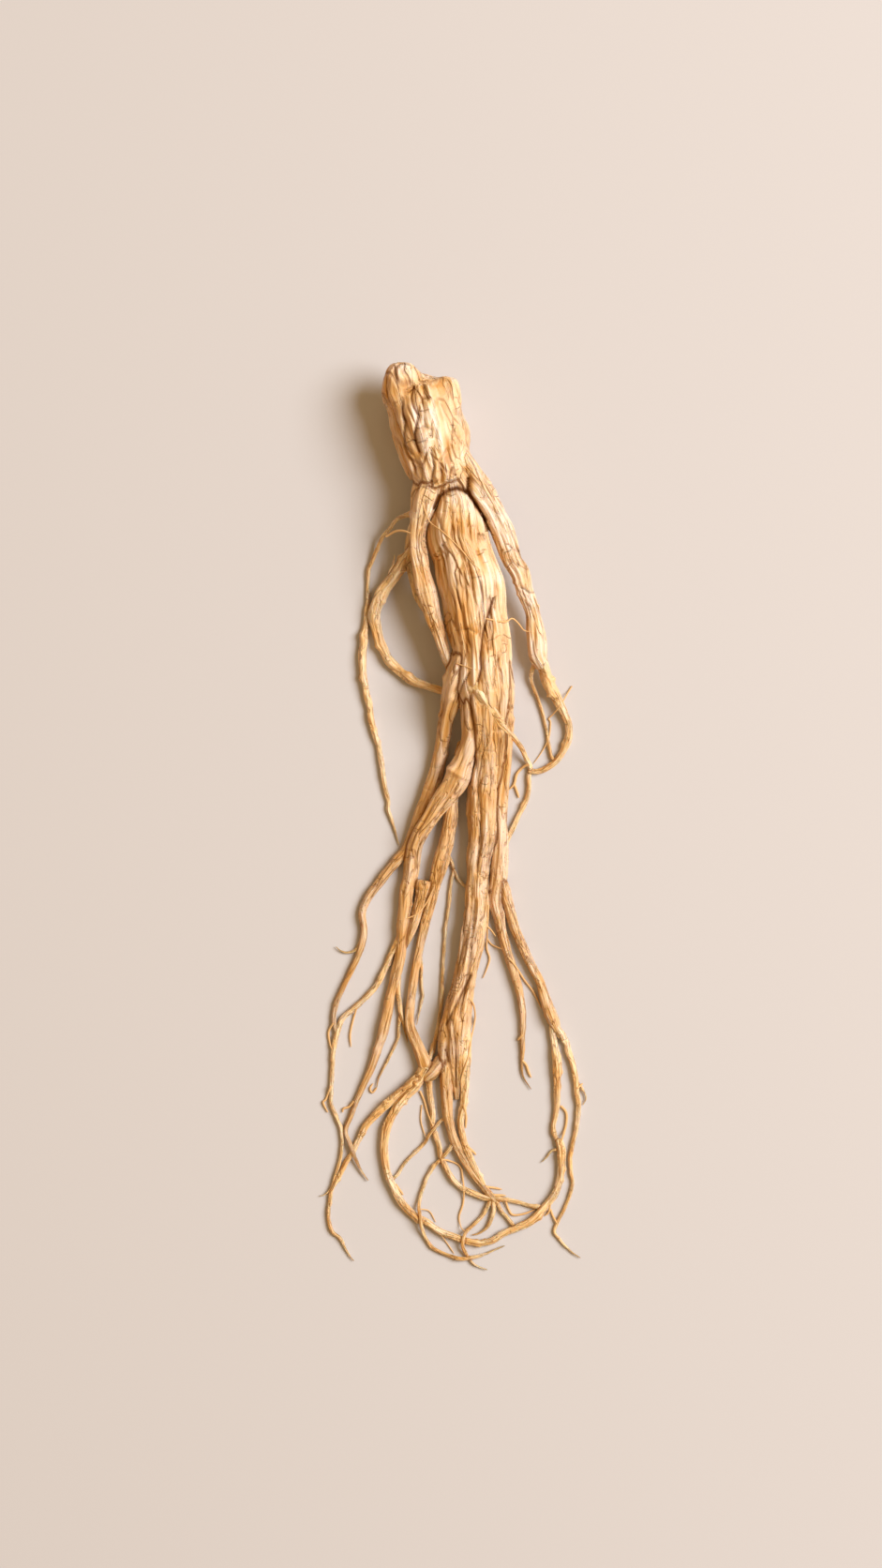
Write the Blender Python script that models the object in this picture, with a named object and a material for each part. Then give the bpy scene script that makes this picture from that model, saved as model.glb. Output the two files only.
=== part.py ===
"""Fresh ginseng root, lying on its back on a surface.

One grown piece: a short two-lobed crown and shoulders, a stout trunk, two arms, six legs
and a fringe of rootlets, all fused into a single solid.

Metres, +Z up. The surface is z = 0, the crown points to +Y, the rootlets to -Y, and the
origin is under the middle of the root's box.
"""
import math

import bmesh
import bpy
from mathutils import Vector, kdtree, noise

MM = 0.001

# The middle of the root's box, in the millimetres that the routes are written in.
BOX_MIDDLE_X = -0.35
BOX_MIDDLE_Y = 0.05

# Sides round a tube, as Blender's bevel resolution: 4 sides and 2 more for each step.
TRUNK_SIDES = 7
LEG_SIDES = 3
BRANCH_SIDES = 2
ROOTLET_SIDES = 1
THREAD_SIDES = 0

# Spacing of the rings along a tube.
TRUNK_STEP = 2.8
LEG_STEP = 3.8
BRANCH_STEP = 4.6
ROOTLET_STEP = 4.7
THREAD_STEP = 4.9
POINTS_BETWEEN = 8

# Skin relief, as shares of the local radius.
RIDGE_DEPTH = 0.20
CREASE_DEPTH = 0.10
STRAND_DEPTH = 0.10

# Each route is a list of hand-placed points: x, y, z of the centre line and the radius, in mm.
SHOULDERS = [
    (-9.6, 142.0, 12.4, 2.6), (-9.7, 141.4, 12.3, 5.2), (-9.9, 139.8, 12.0, 8.2),
    (-10.0, 137.4, 11.8, 10.3), (-9.9, 134.6, 11.5, 11.5), (-9.3, 131.2, 11.4, 11.9),
    (-8.3, 127.4, 11.3, 11.8), (-7.4, 123.4, 11.3, 11.8), (-6.2, 119.0, 11.3, 11.7),
    (-4.9, 115.0, 11.3, 11.2), (-3.6, 111.8, 11.4, 10.7), (-2.3, 109.0, 11.6, 10.0),
    (-1.4, 106.8, 11.8, 8.6), (-0.9, 105.4, 12.0, 5.0),
]
LEFT_LOBE = [
    (-15.4, 144.7, 13.4, 2.6), (-15.5, 144.1, 13.6, 4.6), (-15.7, 142.4, 13.9, 6.2),
    (-15.8, 139.8, 14.0, 7.0), (-15.6, 136.2, 13.8, 7.2), (-15.0, 132.2, 13.4, 6.8),
    (-14.2, 128.0, 13.0, 5.6), (-13.0, 124.0, 12.8, 4.2),
]
RIGHT_LOBE = [
    (-3.6, 140.8, 13.2, 2.6), (-3.6, 140.2, 13.3, 4.4), (-3.5, 138.4, 13.5, 5.8),
    (-3.4, 135.8, 13.6, 6.3), (-3.2, 132.0, 13.5, 6.2), (-3.2, 128.6, 13.2, 5.8),
    (-3.0, 124.5, 13.0, 5.0), (-2.6, 119.0, 13.0, 4.2),
]
TRUNK = [
    (-0.8, 111.0, 11.2, 5.0), (-0.2, 106.4, 11.2, 7.0), (0.6, 101.6, 10.8, 8.2),
    (0.9, 97.6, 10.4, 9.1), (1.0, 93.6, 10.1, 9.9), (1.4, 89.7, 9.9, 10.2),
    (3.0, 85.0, 9.6, 9.9), (4.4, 80.2, 9.6, 10.1), (5.6, 75.0, 9.8, 10.3),
    (6.2, 71.1, 9.8, 10.2), (7.2, 64.5, 9.6, 9.9), (8.2, 58.2, 9.5, 9.6),
    (8.8, 52.5, 9.5, 9.7), (9.2, 47.0, 9.5, 10.0), (9.9, 42.0, 9.4, 9.5),
    (10.8, 36.8, 8.9, 8.4), (11.7, 31.4, 8.0, 6.9), (12.4, 25.8, 6.9, 5.4),
    (12.8, 20.0, 5.8, 4.2), (12.8, 14.2, 4.8, 3.0), (12.6, 9.6, 4.0, 1.6),
]
LEFT_ARM = [
    (-5.4, 113.4, 12.6, 5.0), (-7.0, 108.6, 13.6, 5.1), (-8.4, 103.8, 13.8, 4.8),
    (-9.7, 99.0, 13.4, 4.1), (-11.0, 94.6, 12.8, 3.3), (-11.7, 90.2, 12.4, 2.8),
    (-11.4, 85.2, 12.2, 2.8), (-10.1, 78.6, 12.2, 2.9), (-8.4, 71.7, 12.0, 3.1),
    (-6.6, 65.1, 11.6, 2.5), (-4.8, 60.0, 11.2, 2.2), (-2.9, 53.7, 11.0, 1.8),
    (-1.2, 48.6, 10.8, 1.5), (0.8, 43.4, 10.6, 1.2),
]
BACK_STRAND = [
    (-10.8, 96.6, 10.0, 1.9), (-13.2, 92.4, 8.6, 1.7), (-14.1, 88.2, 7.6, 1.5),
    (-14.1, 83.4, 7.0, 1.5), (-13.5, 79.2, 7.0, 1.5), (-11.4, 71.4, 7.6, 1.3),
    (-7.6, 65.4, 8.6, 1.1), (-2.0, 61.8, 9.0, 0.9),
]
RIGHT_ARM = [
    (0.6, 115.6, 13.0, 4.8), (4.0, 110.6, 14.2, 4.9), (7.6, 106.0, 14.0, 4.3),
    (10.4, 101.9, 13.2, 3.9), (12.9, 97.8, 12.4, 3.7), (16.2, 90.3, 11.2, 3.6),
    (18.6, 83.1, 9.8, 3.1), (21.2, 78.6, 8.8, 3.2), (22.8, 73.2, 7.8, 2.7),
    (25.2, 66.3, 6.6, 2.4), (26.3, 59.7, 5.6, 2.9), (26.9, 53.1, 4.6, 3.1),
    (28.2, 49.8, 4.2, 2.4),
]
RIGHT_ARM_LOOP = [
    (27.6, 52.0, 4.4, 2.3), (28.8, 48.9, 4.0, 2.1), (30.0, 45.0, 3.4, 2.0),
    (31.8, 41.1, 2.8, 1.9), (33.9, 37.5, 2.2, 1.6), (35.4, 34.5, 1.8, 1.4),
    (36.8, 31.2, 1.5, 1.3), (37.2, 27.6, 1.3, 1.3), (36.6, 24.9, 1.2, 1.2),
    (35.4, 22.2, 1.1, 1.1), (33.3, 19.2, 1.0, 1.0), (30.9, 17.1, 1.0, 1.0),
    (27.9, 15.6, 1.0, 0.95), (24.4, 15.4, 1.0, 0.9),
]
RIGHT_ARM_THREAD = [
    (26.7, 52.2, 3.6, 1.0), (25.5, 48.6, 2.6, 0.8), (24.9, 45.0, 1.8, 0.6),
    (26.3, 41.1, 1.1, 0.6), (27.9, 36.6, 0.7, 0.55), (29.1, 32.4, 0.6, 0.55),
    (30.0, 28.2, 0.6, 0.55), (30.6, 24.3, 0.7, 0.55), (31.4, 20.6, 0.8, 0.6),
    (32.4, 18.6, 1.0, 0.6),
]
HOOK_ROOT = [
    (-11.6, 87.6, 9.6, 1.9), (-14.6, 84.2, 7.6, 1.9), (-17.4, 80.4, 6.0, 1.9),
    (-20.4, 76.5, 4.6, 2.0), (-23.3, 72.3, 3.3, 2.1), (-24.9, 68.1, 2.5, 2.1),
    (-25.5, 64.5, 2.0, 2.0), (-24.7, 60.3, 1.7, 1.8), (-23.7, 57.0, 1.5, 1.6),
    (-21.9, 53.1, 1.5, 1.6), (-19.5, 49.8, 1.5, 1.6), (-16.2, 46.8, 1.7, 1.5),
    (-12.3, 44.1, 2.6, 1.4), (-8.1, 42.6, 4.2, 1.3), (-4.4, 41.4, 5.8, 1.3),
    (0.0, 40.2, 7.0, 1.2),
]
HOOK_SPUR = [
    (-20.4, 77.4, 4.8, 1.0), (-20.3, 79.6, 5.4, 0.8), (-19.4, 81.6, 6.0, 0.75),
    (-18.9, 84.6, 6.6, 0.6),
]
LONG_ROOTLET = [
    (-11.4, 98.2, 10.4, 1.2), (-15.6, 97.2, 8.2, 0.8), (-18.6, 95.7, 6.6, 0.65),
    (-20.7, 93.0, 5.2, 0.65), (-22.8, 90.6, 4.0, 0.65), (-24.6, 86.7, 2.6, 0.65),
    (-26.1, 83.1, 1.6, 0.65), (-27.3, 80.1, 1.0, 0.65), (-27.6, 75.0, 0.7, 0.65),
    (-27.7, 69.9, 0.7, 0.7), (-27.9, 66.6, 0.8, 0.85), (-28.3, 62.4, 1.0, 1.05),
    (-29.0, 57.3, 1.3, 1.35), (-29.4, 51.9, 1.3, 1.35), (-29.0, 46.2, 1.2, 1.2),
    (-28.2, 41.1, 1.1, 1.15), (-27.0, 35.7, 1.0, 1.1), (-26.4, 31.2, 1.0, 1.05),
    (-24.3, 24.0, 0.9, 0.9), (-23.1, 17.1, 0.9, 0.9), (-22.2, 11.1, 0.8, 0.8),
    (-21.0, 6.0, 0.65, 0.65), (-21.0, 3.0, 0.6, 0.6), (-19.8, -0.3, 0.6, 0.6),
    (-18.0, -6.6, 0.5, 0.5), (-17.4, -8.4, 0.5, 0.45),
]
LEFT_LEG = [
    (6.0, 62.0, 9.6, 3.4), (5.1, 56.6, 10.5, 4.2), (3.9, 51.0, 11.3, 4.9),
    (2.1, 45.6, 11.6, 4.7), (0.1, 40.4, 10.5, 3.8), (-1.5, 35.0, 8.2, 2.8), (-2.6, 30.6, 6.0, 2.3),
    (-3.2, 26.4, 4.3, 2.3), (-3.9, 22.2, 3.1, 2.3), (-5.0, 17.7, 2.4, 2.4),
    (-6.0, 13.5, 2.3, 2.4), (-8.1, 7.8, 2.3, 2.4), (-10.4, 1.8, 2.2, 2.4),
    (-12.4, -4.2, 2.0, 2.2), (-14.7, -9.3, 1.8, 1.9), (-17.4, -12.3, 1.7, 1.75),
    (-20.3, -15.8, 1.6, 1.65), (-24.9, -21.6, 1.3, 1.4), (-27.9, -25.8, 1.2, 1.3),
    (-29.4, -30.3, 1.2, 1.25), (-28.8, -35.4, 1.2, 1.2), (-29.1, -38.7, 1.2, 1.2),
    (-30.9, -44.4, 1.0, 1.05), (-34.5, -51.9, 0.9, 0.9), (-37.5, -58.8, 0.9, 0.9),
    (-38.5, -64.2, 0.8, 0.8), (-37.6, -68.4, 0.8, 0.75),
]
LEFT_LEG_TWIG = [
    (-29.2, -37.8, 1.1, 0.7), (-31.2, -41.6, 0.8, 0.6), (-34.0, -42.8, 0.6, 0.6),
    (-36.3, -42.2, 0.6, 0.55), (-37.8, -41.0, 0.6, 0.5),
]
CROSSING_LEG = [
    (7.4, 53.0, 12.6, 2.4), (6.2, 47.0, 13.8, 3.2), (5.2, 40.0, 13.0, 3.2),
    (5.1, 32.4, 11.4, 2.7), (5.6, 26.7, 9.8, 2.8), (3.9, 20.7, 8.4, 3.2),
    (1.5, 14.7, 7.4, 3.9), (-1.2, 9.6, 6.8, 3.9), (-4.8, 4.8, 6.4, 3.0),
    (-7.8, 0.0, 5.8, 2.6), (-10.8, -4.8, 4.6, 2.5), (-12.6, -9.3, 3.2, 2.5),
    (-13.2, -13.2, 2.5, 2.5), (-14.0, -18.3, 2.3, 2.4), (-15.3, -24.3, 2.2, 2.3),
    (-15.9, -30.3, 2.0, 2.1), (-16.5, -36.3, 1.9, 2.0), (-16.9, -42.3, 1.8, 1.8),
    (-18.0, -48.3, 1.7, 1.8), (-19.8, -54.6, 1.5, 1.5), (-21.2, -61.8, 1.6, 1.7),
    (-22.7, -68.4, 1.6, 1.65), (-24.6, -74.4, 1.3, 1.4), (-26.4, -79.8, 1.1, 1.2),
    (-28.8, -85.2, 1.0, 1.0), (-31.2, -90.6, 0.9, 0.9), (-33.0, -95.4, 0.8, 0.8),
    (-34.8, -100.2, 0.9, 0.8), (-33.5, -103.8, 1.4, 0.75), (-32.1, -107.6, 1.6, 0.7),
    (-30.0, -112.5, 0.8, 0.7), (-27.5, -116.1, 0.7, 0.65),
]
CUT_STUB = [
    (-16.4, -41.8, 1.7, 1.0), (-14.4, -37.6, 1.8, 1.5), (-11.9, -30.3, 2.1, 1.8),
    (-10.6, -25.0, 2.4, 1.9), (-9.9, -21.4, 2.6, 2.6), (-9.6, -19.8, 2.7, 2.6),
]
LEG_FORK = [
    (-17.9, -48.0, 1.5, 1.1), (-17.9, -52.2, 1.0, 0.95), (-17.7, -56.1, 0.9, 0.9),
    (-17.1, -61.5, 0.8, 0.8), (-15.9, -66.6, 0.7, 0.7), (-14.9, -71.6, 0.6, 0.5),
]
LEG_FORK_THREAD = [
    (-17.1, -62.0, 0.8, 0.6), (-17.6, -66.6, 0.6, 0.55), (-17.8, -70.2, 0.55, 0.5),
    (-19.5, -74.1, 0.55, 0.5), (-21.9, -78.9, 0.5, 0.5), (-24.0, -83.1, 0.5, 0.5),
    (-24.8, -86.4, 0.5, 0.5),
]
SIDE_ROOTLET = [
    (-16.8, -37.2, 1.8, 1.3), (-19.2, -41.7, 1.3, 1.1), (-21.3, -46.2, 1.0, 1.05),
    (-23.4, -50.7, 1.0, 1.05), (-25.2, -54.0, 1.0, 0.95), (-27.6, -56.7, 0.9, 0.9),
    (-31.2, -60.0, 0.9, 0.9), (-35.4, -63.6, 0.9, 0.9), (-37.1, -67.2, 0.9, 0.9),
    (-38.6, -74.1, 0.8, 0.8), (-39.0, -80.4, 0.75, 0.75), (-39.4, -87.3, 0.7, 0.7),
    (-39.3, -91.8, 0.65, 0.65), (-37.4, -96.6, 0.6, 0.6), (-36.1, -100.2, 0.7, 0.6),
    (-35.9, -105.0, 0.7, 0.55), (-36.6, -110.1, 0.8, 0.55), (-38.1, -114.6, 0.9, 0.5),
    (-39.4, -118.5, 1.0, 0.5), (-41.3, -120.6, 0.6, 0.5), (-42.9, -121.1, 0.5, 0.45),
]
MIDDLE_LEG = [
    (3.4, 24.0, 6.4, 2.2), (1.8, 17.6, 5.6, 2.3), (0.2, 11.0, 4.6, 2.2),
    (-0.6, 5.6, 3.6, 2.1), (-1.2, 0.3, 2.8, 2.4), (-1.8, -4.2, 2.5, 2.6),
    (-3.0, -9.3, 2.4, 2.6), (-4.2, -13.8, 2.4, 2.6), (-5.4, -18.3, 2.2, 2.3),
    (-6.6, -23.1, 1.7, 1.8), (-8.1, -29.1, 1.6, 1.7), (-9.6, -35.1, 1.4, 1.5),
    (-11.0, -41.4, 1.3, 1.3), (-12.0, -46.2, 1.3, 1.3), (-12.8, -51.3, 1.3, 1.4),
    (-13.5, -57.3, 1.4, 1.45), (-14.1, -64.8, 1.5, 1.5), (-12.6, -70.2, 1.8, 1.8),
    (-10.5, -75.0, 1.9, 2.0), (-9.0, -78.9, 2.0, 2.2), (-8.6, -81.6, 2.0, 1.6),
]
MIDDLE_TWIG = [
    (-11.2, -41.6, 1.4, 0.6), (-10.4, -46.0, 0.8, 0.55), (-10.3, -52.8, 0.55, 0.5),
    (-9.9, -56.8, 0.55, 0.5), (-10.8, -61.0, 0.55, 0.5), (-11.9, -66.0, 1.0, 0.55),
]
CROSS_ROOTLET = [
    (-3.6, -8.4, 2.4, 1.0), (-1.2, -12.6, 1.0, 0.7), (0.0, -16.6, 0.6, 0.6),
    (-0.8, -20.4, 0.6, 0.6), (-1.5, -27.6, 0.6, 0.6), (-2.4, -33.9, 0.55, 0.55),
    (-2.9, -39.9, 0.55, 0.55), (-3.3, -46.2, 0.55, 0.55), (-3.6, -52.8, 0.6, 0.6),
    (-4.0, -58.8, 0.6, 0.6), (-4.9, -65.4, 0.6, 0.6), (-6.0, -71.4, 0.8, 0.7),
    (-7.8, -77.4, 1.6, 0.8),
]
CROSS_LINK = [
    (-0.2, -15.8, 0.7, 0.6), (2.0, -19.8, 0.8, 0.55), (4.4, -22.0, 1.8, 0.6),
    (6.6, -23.4, 2.6, 0.7),
]
CENTRE_LEG = [
    (9.4, 47.0, 13.4, 4.2), (9.4, 41.6, 13.6, 4.9), (9.6, 36.0, 12.8, 4.6),
    (9.9, 30.4, 11.2, 4.1), (10.2, 24.8, 9.4, 3.8), (10.1, 19.6, 7.8, 3.7),
    (9.6, 14.0, 6.3, 4.0), (9.0, 7.2, 5.0, 4.6), (9.0, 0.3, 4.5, 4.5),
    (9.0, -6.3, 4.2, 4.3), (7.8, -15.3, 3.6, 3.7), (7.5, -22.8, 3.6, 3.8),
    (7.5, -27.6, 3.8, 3.9), (6.8, -34.5, 3.8, 3.9), (5.9, -39.6, 3.7, 3.8),
    (4.5, -46.5, 3.5, 3.6), (2.9, -53.4, 3.5, 3.6), (1.8, -59.1, 4.0, 4.2),
    (0.9, -65.4, 4.3, 4.5), (0.5, -71.4, 3.9, 4.1), (0.4, -76.6, 3.2, 3.3),
    (0.6, -81.4, 2.4, 2.4), (0.9, -86.0, 1.6, 1.4), (1.0, -89.6, 1.1, 0.8),
]
NODE_BRIDGE = [
    (-1.4, -73.6, 3.6, 2.1), (-3.6, -77.4, 3.0, 2.4), (-6.2, -80.6, 2.5, 2.5),
    (-8.8, -82.8, 2.1, 2.0),
]
CENTRE_TAIL_LEFT = [
    (-0.8, -62.0, 4.8, 2.4), (-1.8, -67.6, 4.6, 2.7), (-2.3, -73.4, 3.8, 2.6),
    (-2.4, -79.0, 2.8, 2.4), (-2.4, -84.4, 2.1, 2.0), (-2.2, -90.6, 1.7, 1.8),
    (-1.5, -96.9, 1.5, 1.6), (0.3, -103.2, 1.4, 1.45), (3.4, -109.5, 1.2, 1.3),
    (7.2, -115.2, 1.1, 1.2), (11.7, -120.6, 1.1, 1.2), (13.2, -122.4, 1.0, 1.0),
]
CENTRE_TAIL_RIGHT = [
    (3.4, -67.0, 4.4, 2.1), (3.5, -73.0, 3.8, 2.2), (3.5, -79.0, 2.8, 2.0),
    (3.6, -85.5, 1.7, 1.5), (3.3, -91.8, 1.2, 1.25), (2.2, -96.9, 1.1, 1.15),
    (2.9, -102.0, 1.2, 1.1), (4.8, -107.4, 1.6, 1.05), (7.2, -112.6, 1.7, 1.0),
    (9.6, -117.4, 1.4, 0.9),
]
RIGHT_LEG = [
    (14.6, 50.0, 10.6, 3.8), (15.0, 44.8, 11.0, 4.3), (15.4, 39.0, 10.6, 4.1),
    (15.8, 33.0, 9.2, 3.6), (16.1, 26.4, 7.2, 3.0), (16.2, 20.0, 5.2, 2.6),
    (15.8, 13.5, 3.8, 2.4), (15.3, 7.2, 2.8, 2.3), (15.0, 0.3, 2.4, 2.4),
    (15.0, -7.8, 2.4, 2.5), (14.4, -18.3, 2.6, 2.8), (13.4, -25.8, 2.3, 2.4),
    (14.7, -31.8, 1.8, 1.9), (15.6, -36.3, 1.6, 1.7), (16.8, -40.8, 1.5, 1.6),
    (18.2, -45.3, 1.4, 1.45), (19.8, -50.4, 1.3, 1.4), (21.2, -55.5, 1.3, 1.35),
    (22.2, -61.8, 1.1, 1.2), (22.4, -65.1, 1.0, 1.0), (22.2, -69.9, 0.9, 0.9),
    (22.2, -74.1, 0.75, 0.75), (22.0, -78.6, 0.6, 0.6), (22.4, -82.5, 0.55, 0.5),
    (24.9, -86.7, 0.5, 0.45),
]
OUTER_LEG = [
    (14.8, -18.6, 2.5, 2.2), (16.4, -24.3, 2.1, 2.1), (18.3, -30.3, 1.8, 1.9),
    (19.8, -35.4, 1.6, 1.6), (21.6, -39.3, 1.6, 1.65), (23.7, -44.4, 1.5, 1.5),
    (25.8, -48.6, 1.4, 1.45), (27.9, -52.8, 1.4, 1.5), (29.7, -58.8, 1.7, 1.8),
    (31.8, -64.2, 1.8, 2.0), (33.2, -67.6, 1.4, 1.3),
]
OUTER_FORK_LEFT = [
    (31.4, -62.6, 1.7, 1.3), (31.8, -68.4, 1.1, 1.05), (32.6, -73.5, 1.2, 1.25),
    (33.3, -78.6, 1.4, 1.5), (33.3, -83.7, 1.2, 1.25), (33.3, -88.8, 1.05, 1.1),
    (33.0, -94.2, 0.9, 0.95), (32.1, -99.0, 0.8, 0.8), (33.2, -103.4, 1.0, 0.8),
]
OUTER_FORK_RIGHT = [
    (32.6, -65.8, 1.6, 1.4), (36.0, -71.4, 1.1, 1.1), (36.9, -74.7, 1.05, 1.05),
    (38.4, -79.2, 1.0, 1.0), (39.3, -83.7, 0.95, 0.95), (39.8, -88.8, 0.9, 0.9),
    (40.2, -92.4, 0.85, 0.85), (39.8, -97.5, 0.8, 0.8), (39.0, -101.7, 0.75, 0.75),
    (38.1, -105.3, 0.7, 0.7), (37.5, -108.9, 0.65, 0.65), (37.8, -113.1, 0.65, 0.65),
    (38.3, -117.3, 0.6, 0.6), (37.5, -120.6, 0.6, 0.6), (35.9, -124.8, 0.55, 0.55),
    (33.9, -128.7, 0.55, 0.55), (32.5, -132.2, 0.55, 0.55), (33.8, -134.6, 0.5, 0.5),
    (37.8, -138.9, 0.5, 0.5), (40.8, -141.0, 0.5, 0.45),
]
OUTER_TUFT = [
    (39.4, -84.0, 0.9, 0.6), (41.4, -86.6, 0.7, 0.55), (42.6, -89.6, 0.55, 0.5),
    (41.6, -91.8, 0.55, 0.5),
]
CURL_ROOTLET = [
    (4.4, 50.0, 13.2, 1.8), (5.8, 45.4, 15.4, 2.3), (8.0, 41.0, 16.6, 2.2),
    (10.8, 37.0, 16.2, 1.8), (13.2, 33.6, 14.8, 1.4), (15.3, 30.3, 12.8, 1.15),
    (17.1, 28.3, 10.4, 1.0), (19.4, 26.0, 7.2, 0.9), (21.6, 23.1, 4.2, 0.85),
    (23.4, 19.5, 1.9, 0.8), (24.6, 16.8, 1.0, 0.8), (24.3, 13.8, 0.8, 0.8),
    (24.2, 10.2, 0.8, 0.8), (23.4, 6.2, 0.8, 0.8), (21.2, 1.8, 0.8, 0.8),
    (19.2, -2.7, 1.2, 0.8), (16.6, -7.8, 2.0, 0.9),
]
LOOP_ROOT = [
    (-9.2, -79.8, 2.0, 2.2), (-10.5, -82.4, 2.0, 2.1), (-12.9, -85.8, 1.9, 1.8),
    (-15.6, -89.0, 1.6, 1.65), (-18.3, -92.4, 1.5, 1.5), (-20.4, -96.6, 1.4, 1.45),
    (-22.0, -101.1, 1.4, 1.4), (-22.2, -107.4, 1.3, 1.35), (-21.7, -111.9, 1.3, 1.3),
    (-20.4, -116.1, 1.3, 1.3), (-18.2, -120.6, 1.3, 1.3), (-15.3, -124.8, 1.3, 1.3),
    (-12.0, -127.8, 1.2, 1.25), (-8.7, -129.6, 1.2, 1.2), (-4.2, -132.6, 1.1, 1.15),
    (0.0, -134.1, 1.1, 1.1), (3.6, -135.3, 1.0, 1.05), (8.6, -136.2, 1.0, 1.05),
    (12.8, -135.3, 1.0, 1.1), (16.1, -133.2, 1.1, 1.15), (20.0, -131.4, 1.2, 1.2),
    (24.2, -129.6, 1.3, 1.35), (27.3, -126.8, 1.3, 1.3), (30.0, -123.6, 1.2, 1.25),
    (32.7, -120.0, 1.2, 1.2), (34.2, -115.8, 1.2, 1.2), (34.8, -110.7, 1.2, 1.25),
    (34.8, -106.8, 1.3, 1.4), (33.9, -103.2, 1.2, 1.2),
]
LOOP_TWIG = [
    (34.4, -106.0, 1.2, 0.8), (31.7, -106.5, 0.7, 0.6), (30.0, -108.6, 0.6, 0.6),
    (28.5, -110.1, 0.6, 0.5),
]
TAIL_ROOT = [
    (-10.4, -82.0, 2.2, 1.7), (-12.3, -84.0, 2.4, 1.6), (-15.6, -86.4, 2.2, 1.5),
    (-19.2, -89.4, 1.8, 1.45), (-21.9, -91.8, 1.5, 1.4), (-24.6, -94.5, 1.3, 1.3),
    (-27.3, -97.2, 1.2, 1.2), (-29.0, -100.0, 1.1, 1.1), (-30.8, -103.6, 1.0, 1.0),
    (-32.4, -106.8, 0.9, 0.95), (-34.8, -110.7, 0.85, 0.85), (-36.9, -114.9, 0.8, 0.8),
    (-39.0, -118.5, 0.75, 0.75), (-39.7, -122.1, 0.7, 0.7), (-40.2, -125.7, 0.65, 0.65),
    (-40.2, -129.0, 0.6, 0.6), (-39.0, -132.6, 0.6, 0.6), (-36.6, -134.6, 0.6, 0.6),
    (-35.1, -137.4, 0.55, 0.55), (-33.4, -140.4, 0.5, 0.5), (-32.1, -141.9, 0.5, 0.45),
]
INNER_ROOT = [
    (-8.2, -80.4, 2.0, 1.4), (-7.8, -85.5, 1.2, 1.1), (-7.5, -88.8, 1.0, 1.0),
    (-6.7, -94.2, 0.95, 0.95), (-6.9, -97.8, 0.9, 0.9), (-6.0, -101.1, 0.9, 0.9),
    (-4.8, -104.4, 0.9, 0.9), (-3.8, -109.2, 0.9, 0.95), (-1.2, -114.3, 0.95, 0.95),
    (1.2, -117.3, 0.95, 0.95), (4.5, -119.4, 0.95, 0.95), (9.9, -121.5, 1.0, 1.0),
    (13.5, -122.0, 1.0, 1.0), (16.8, -122.3, 0.8, 0.8), (20.0, -122.9, 0.7, 0.7),
    (23.4, -123.9, 0.65, 0.65), (27.0, -124.6, 0.9, 0.8), (29.0, -124.6, 1.1, 0.7),
]
INNER_CROSS_THREAD = [
    (-1.6, -95.6, 1.6, 0.7), (-3.8, -96.6, 1.2, 0.6), (-5.4, -98.4, 1.6, 0.55),
    (-7.5, -101.0, 1.4, 0.55), (-9.3, -104.1, 0.7, 0.55), (-12.3, -107.1, 0.55, 0.55),
    (-15.6, -110.4, 0.55, 0.55), (-17.8, -114.0, 0.7, 0.55), (-20.4, -116.4, 1.3, 0.6),
]
BOTTOM_THREAD = [
    (-0.2, -104.4, 1.4, 0.8), (-2.4, -107.4, 1.4, 0.7), (-6.0, -111.2, 0.8, 0.65),
    (-8.1, -114.3, 0.65, 0.65), (-9.6, -117.9, 0.65, 0.65), (-10.8, -121.8, 0.8, 0.6),
    (-11.1, -125.0, 1.8, 0.6), (-10.6, -128.2, 2.8, 0.6), (-10.2, -131.2, 1.8, 0.6),
    (-9.0, -134.4, 0.7, 0.6), (-7.2, -137.1, 0.6, 0.6), (-4.2, -139.2, 0.6, 0.6),
    (-0.9, -140.4, 0.6, 0.6), (2.4, -141.2, 1.0, 0.6), (6.9, -140.7, 0.8, 0.6),
    (10.8, -139.5, 0.6, 0.55), (13.5, -138.3, 0.6, 0.55), (16.4, -137.1, 0.6, 0.5),
]
LOWEST_THREAD = [
    (12.0, -121.6, 1.2, 0.8), (10.8, -124.8, 0.9, 0.7), (9.0, -127.8, 0.7, 0.6),
    (6.0, -130.7, 0.9, 0.6), (3.8, -132.9, 1.8, 0.6), (3.0, -135.4, 2.4, 0.6),
    (3.2, -138.0, 1.5, 0.6), (4.7, -140.6, 0.8, 0.6), (6.9, -143.2, 0.6, 0.55),
    (10.8, -144.8, 0.6, 0.5),
]
LOWER_CURL = [
    (12.6, -121.8, 1.0, 0.9), (12.9, -125.1, 0.8, 0.8), (12.2, -128.4, 0.75, 0.75),
    (10.8, -131.1, 0.75, 0.75), (8.4, -133.0, 0.7, 0.65), (6.2, -133.6, 0.6, 0.55),
]
LOWER_LINK = [
    (13.6, -122.0, 1.0, 0.8), (15.0, -125.4, 0.7, 0.65), (17.1, -127.8, 0.7, 0.6),
    (19.8, -131.2, 1.1, 0.7),
]

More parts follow.
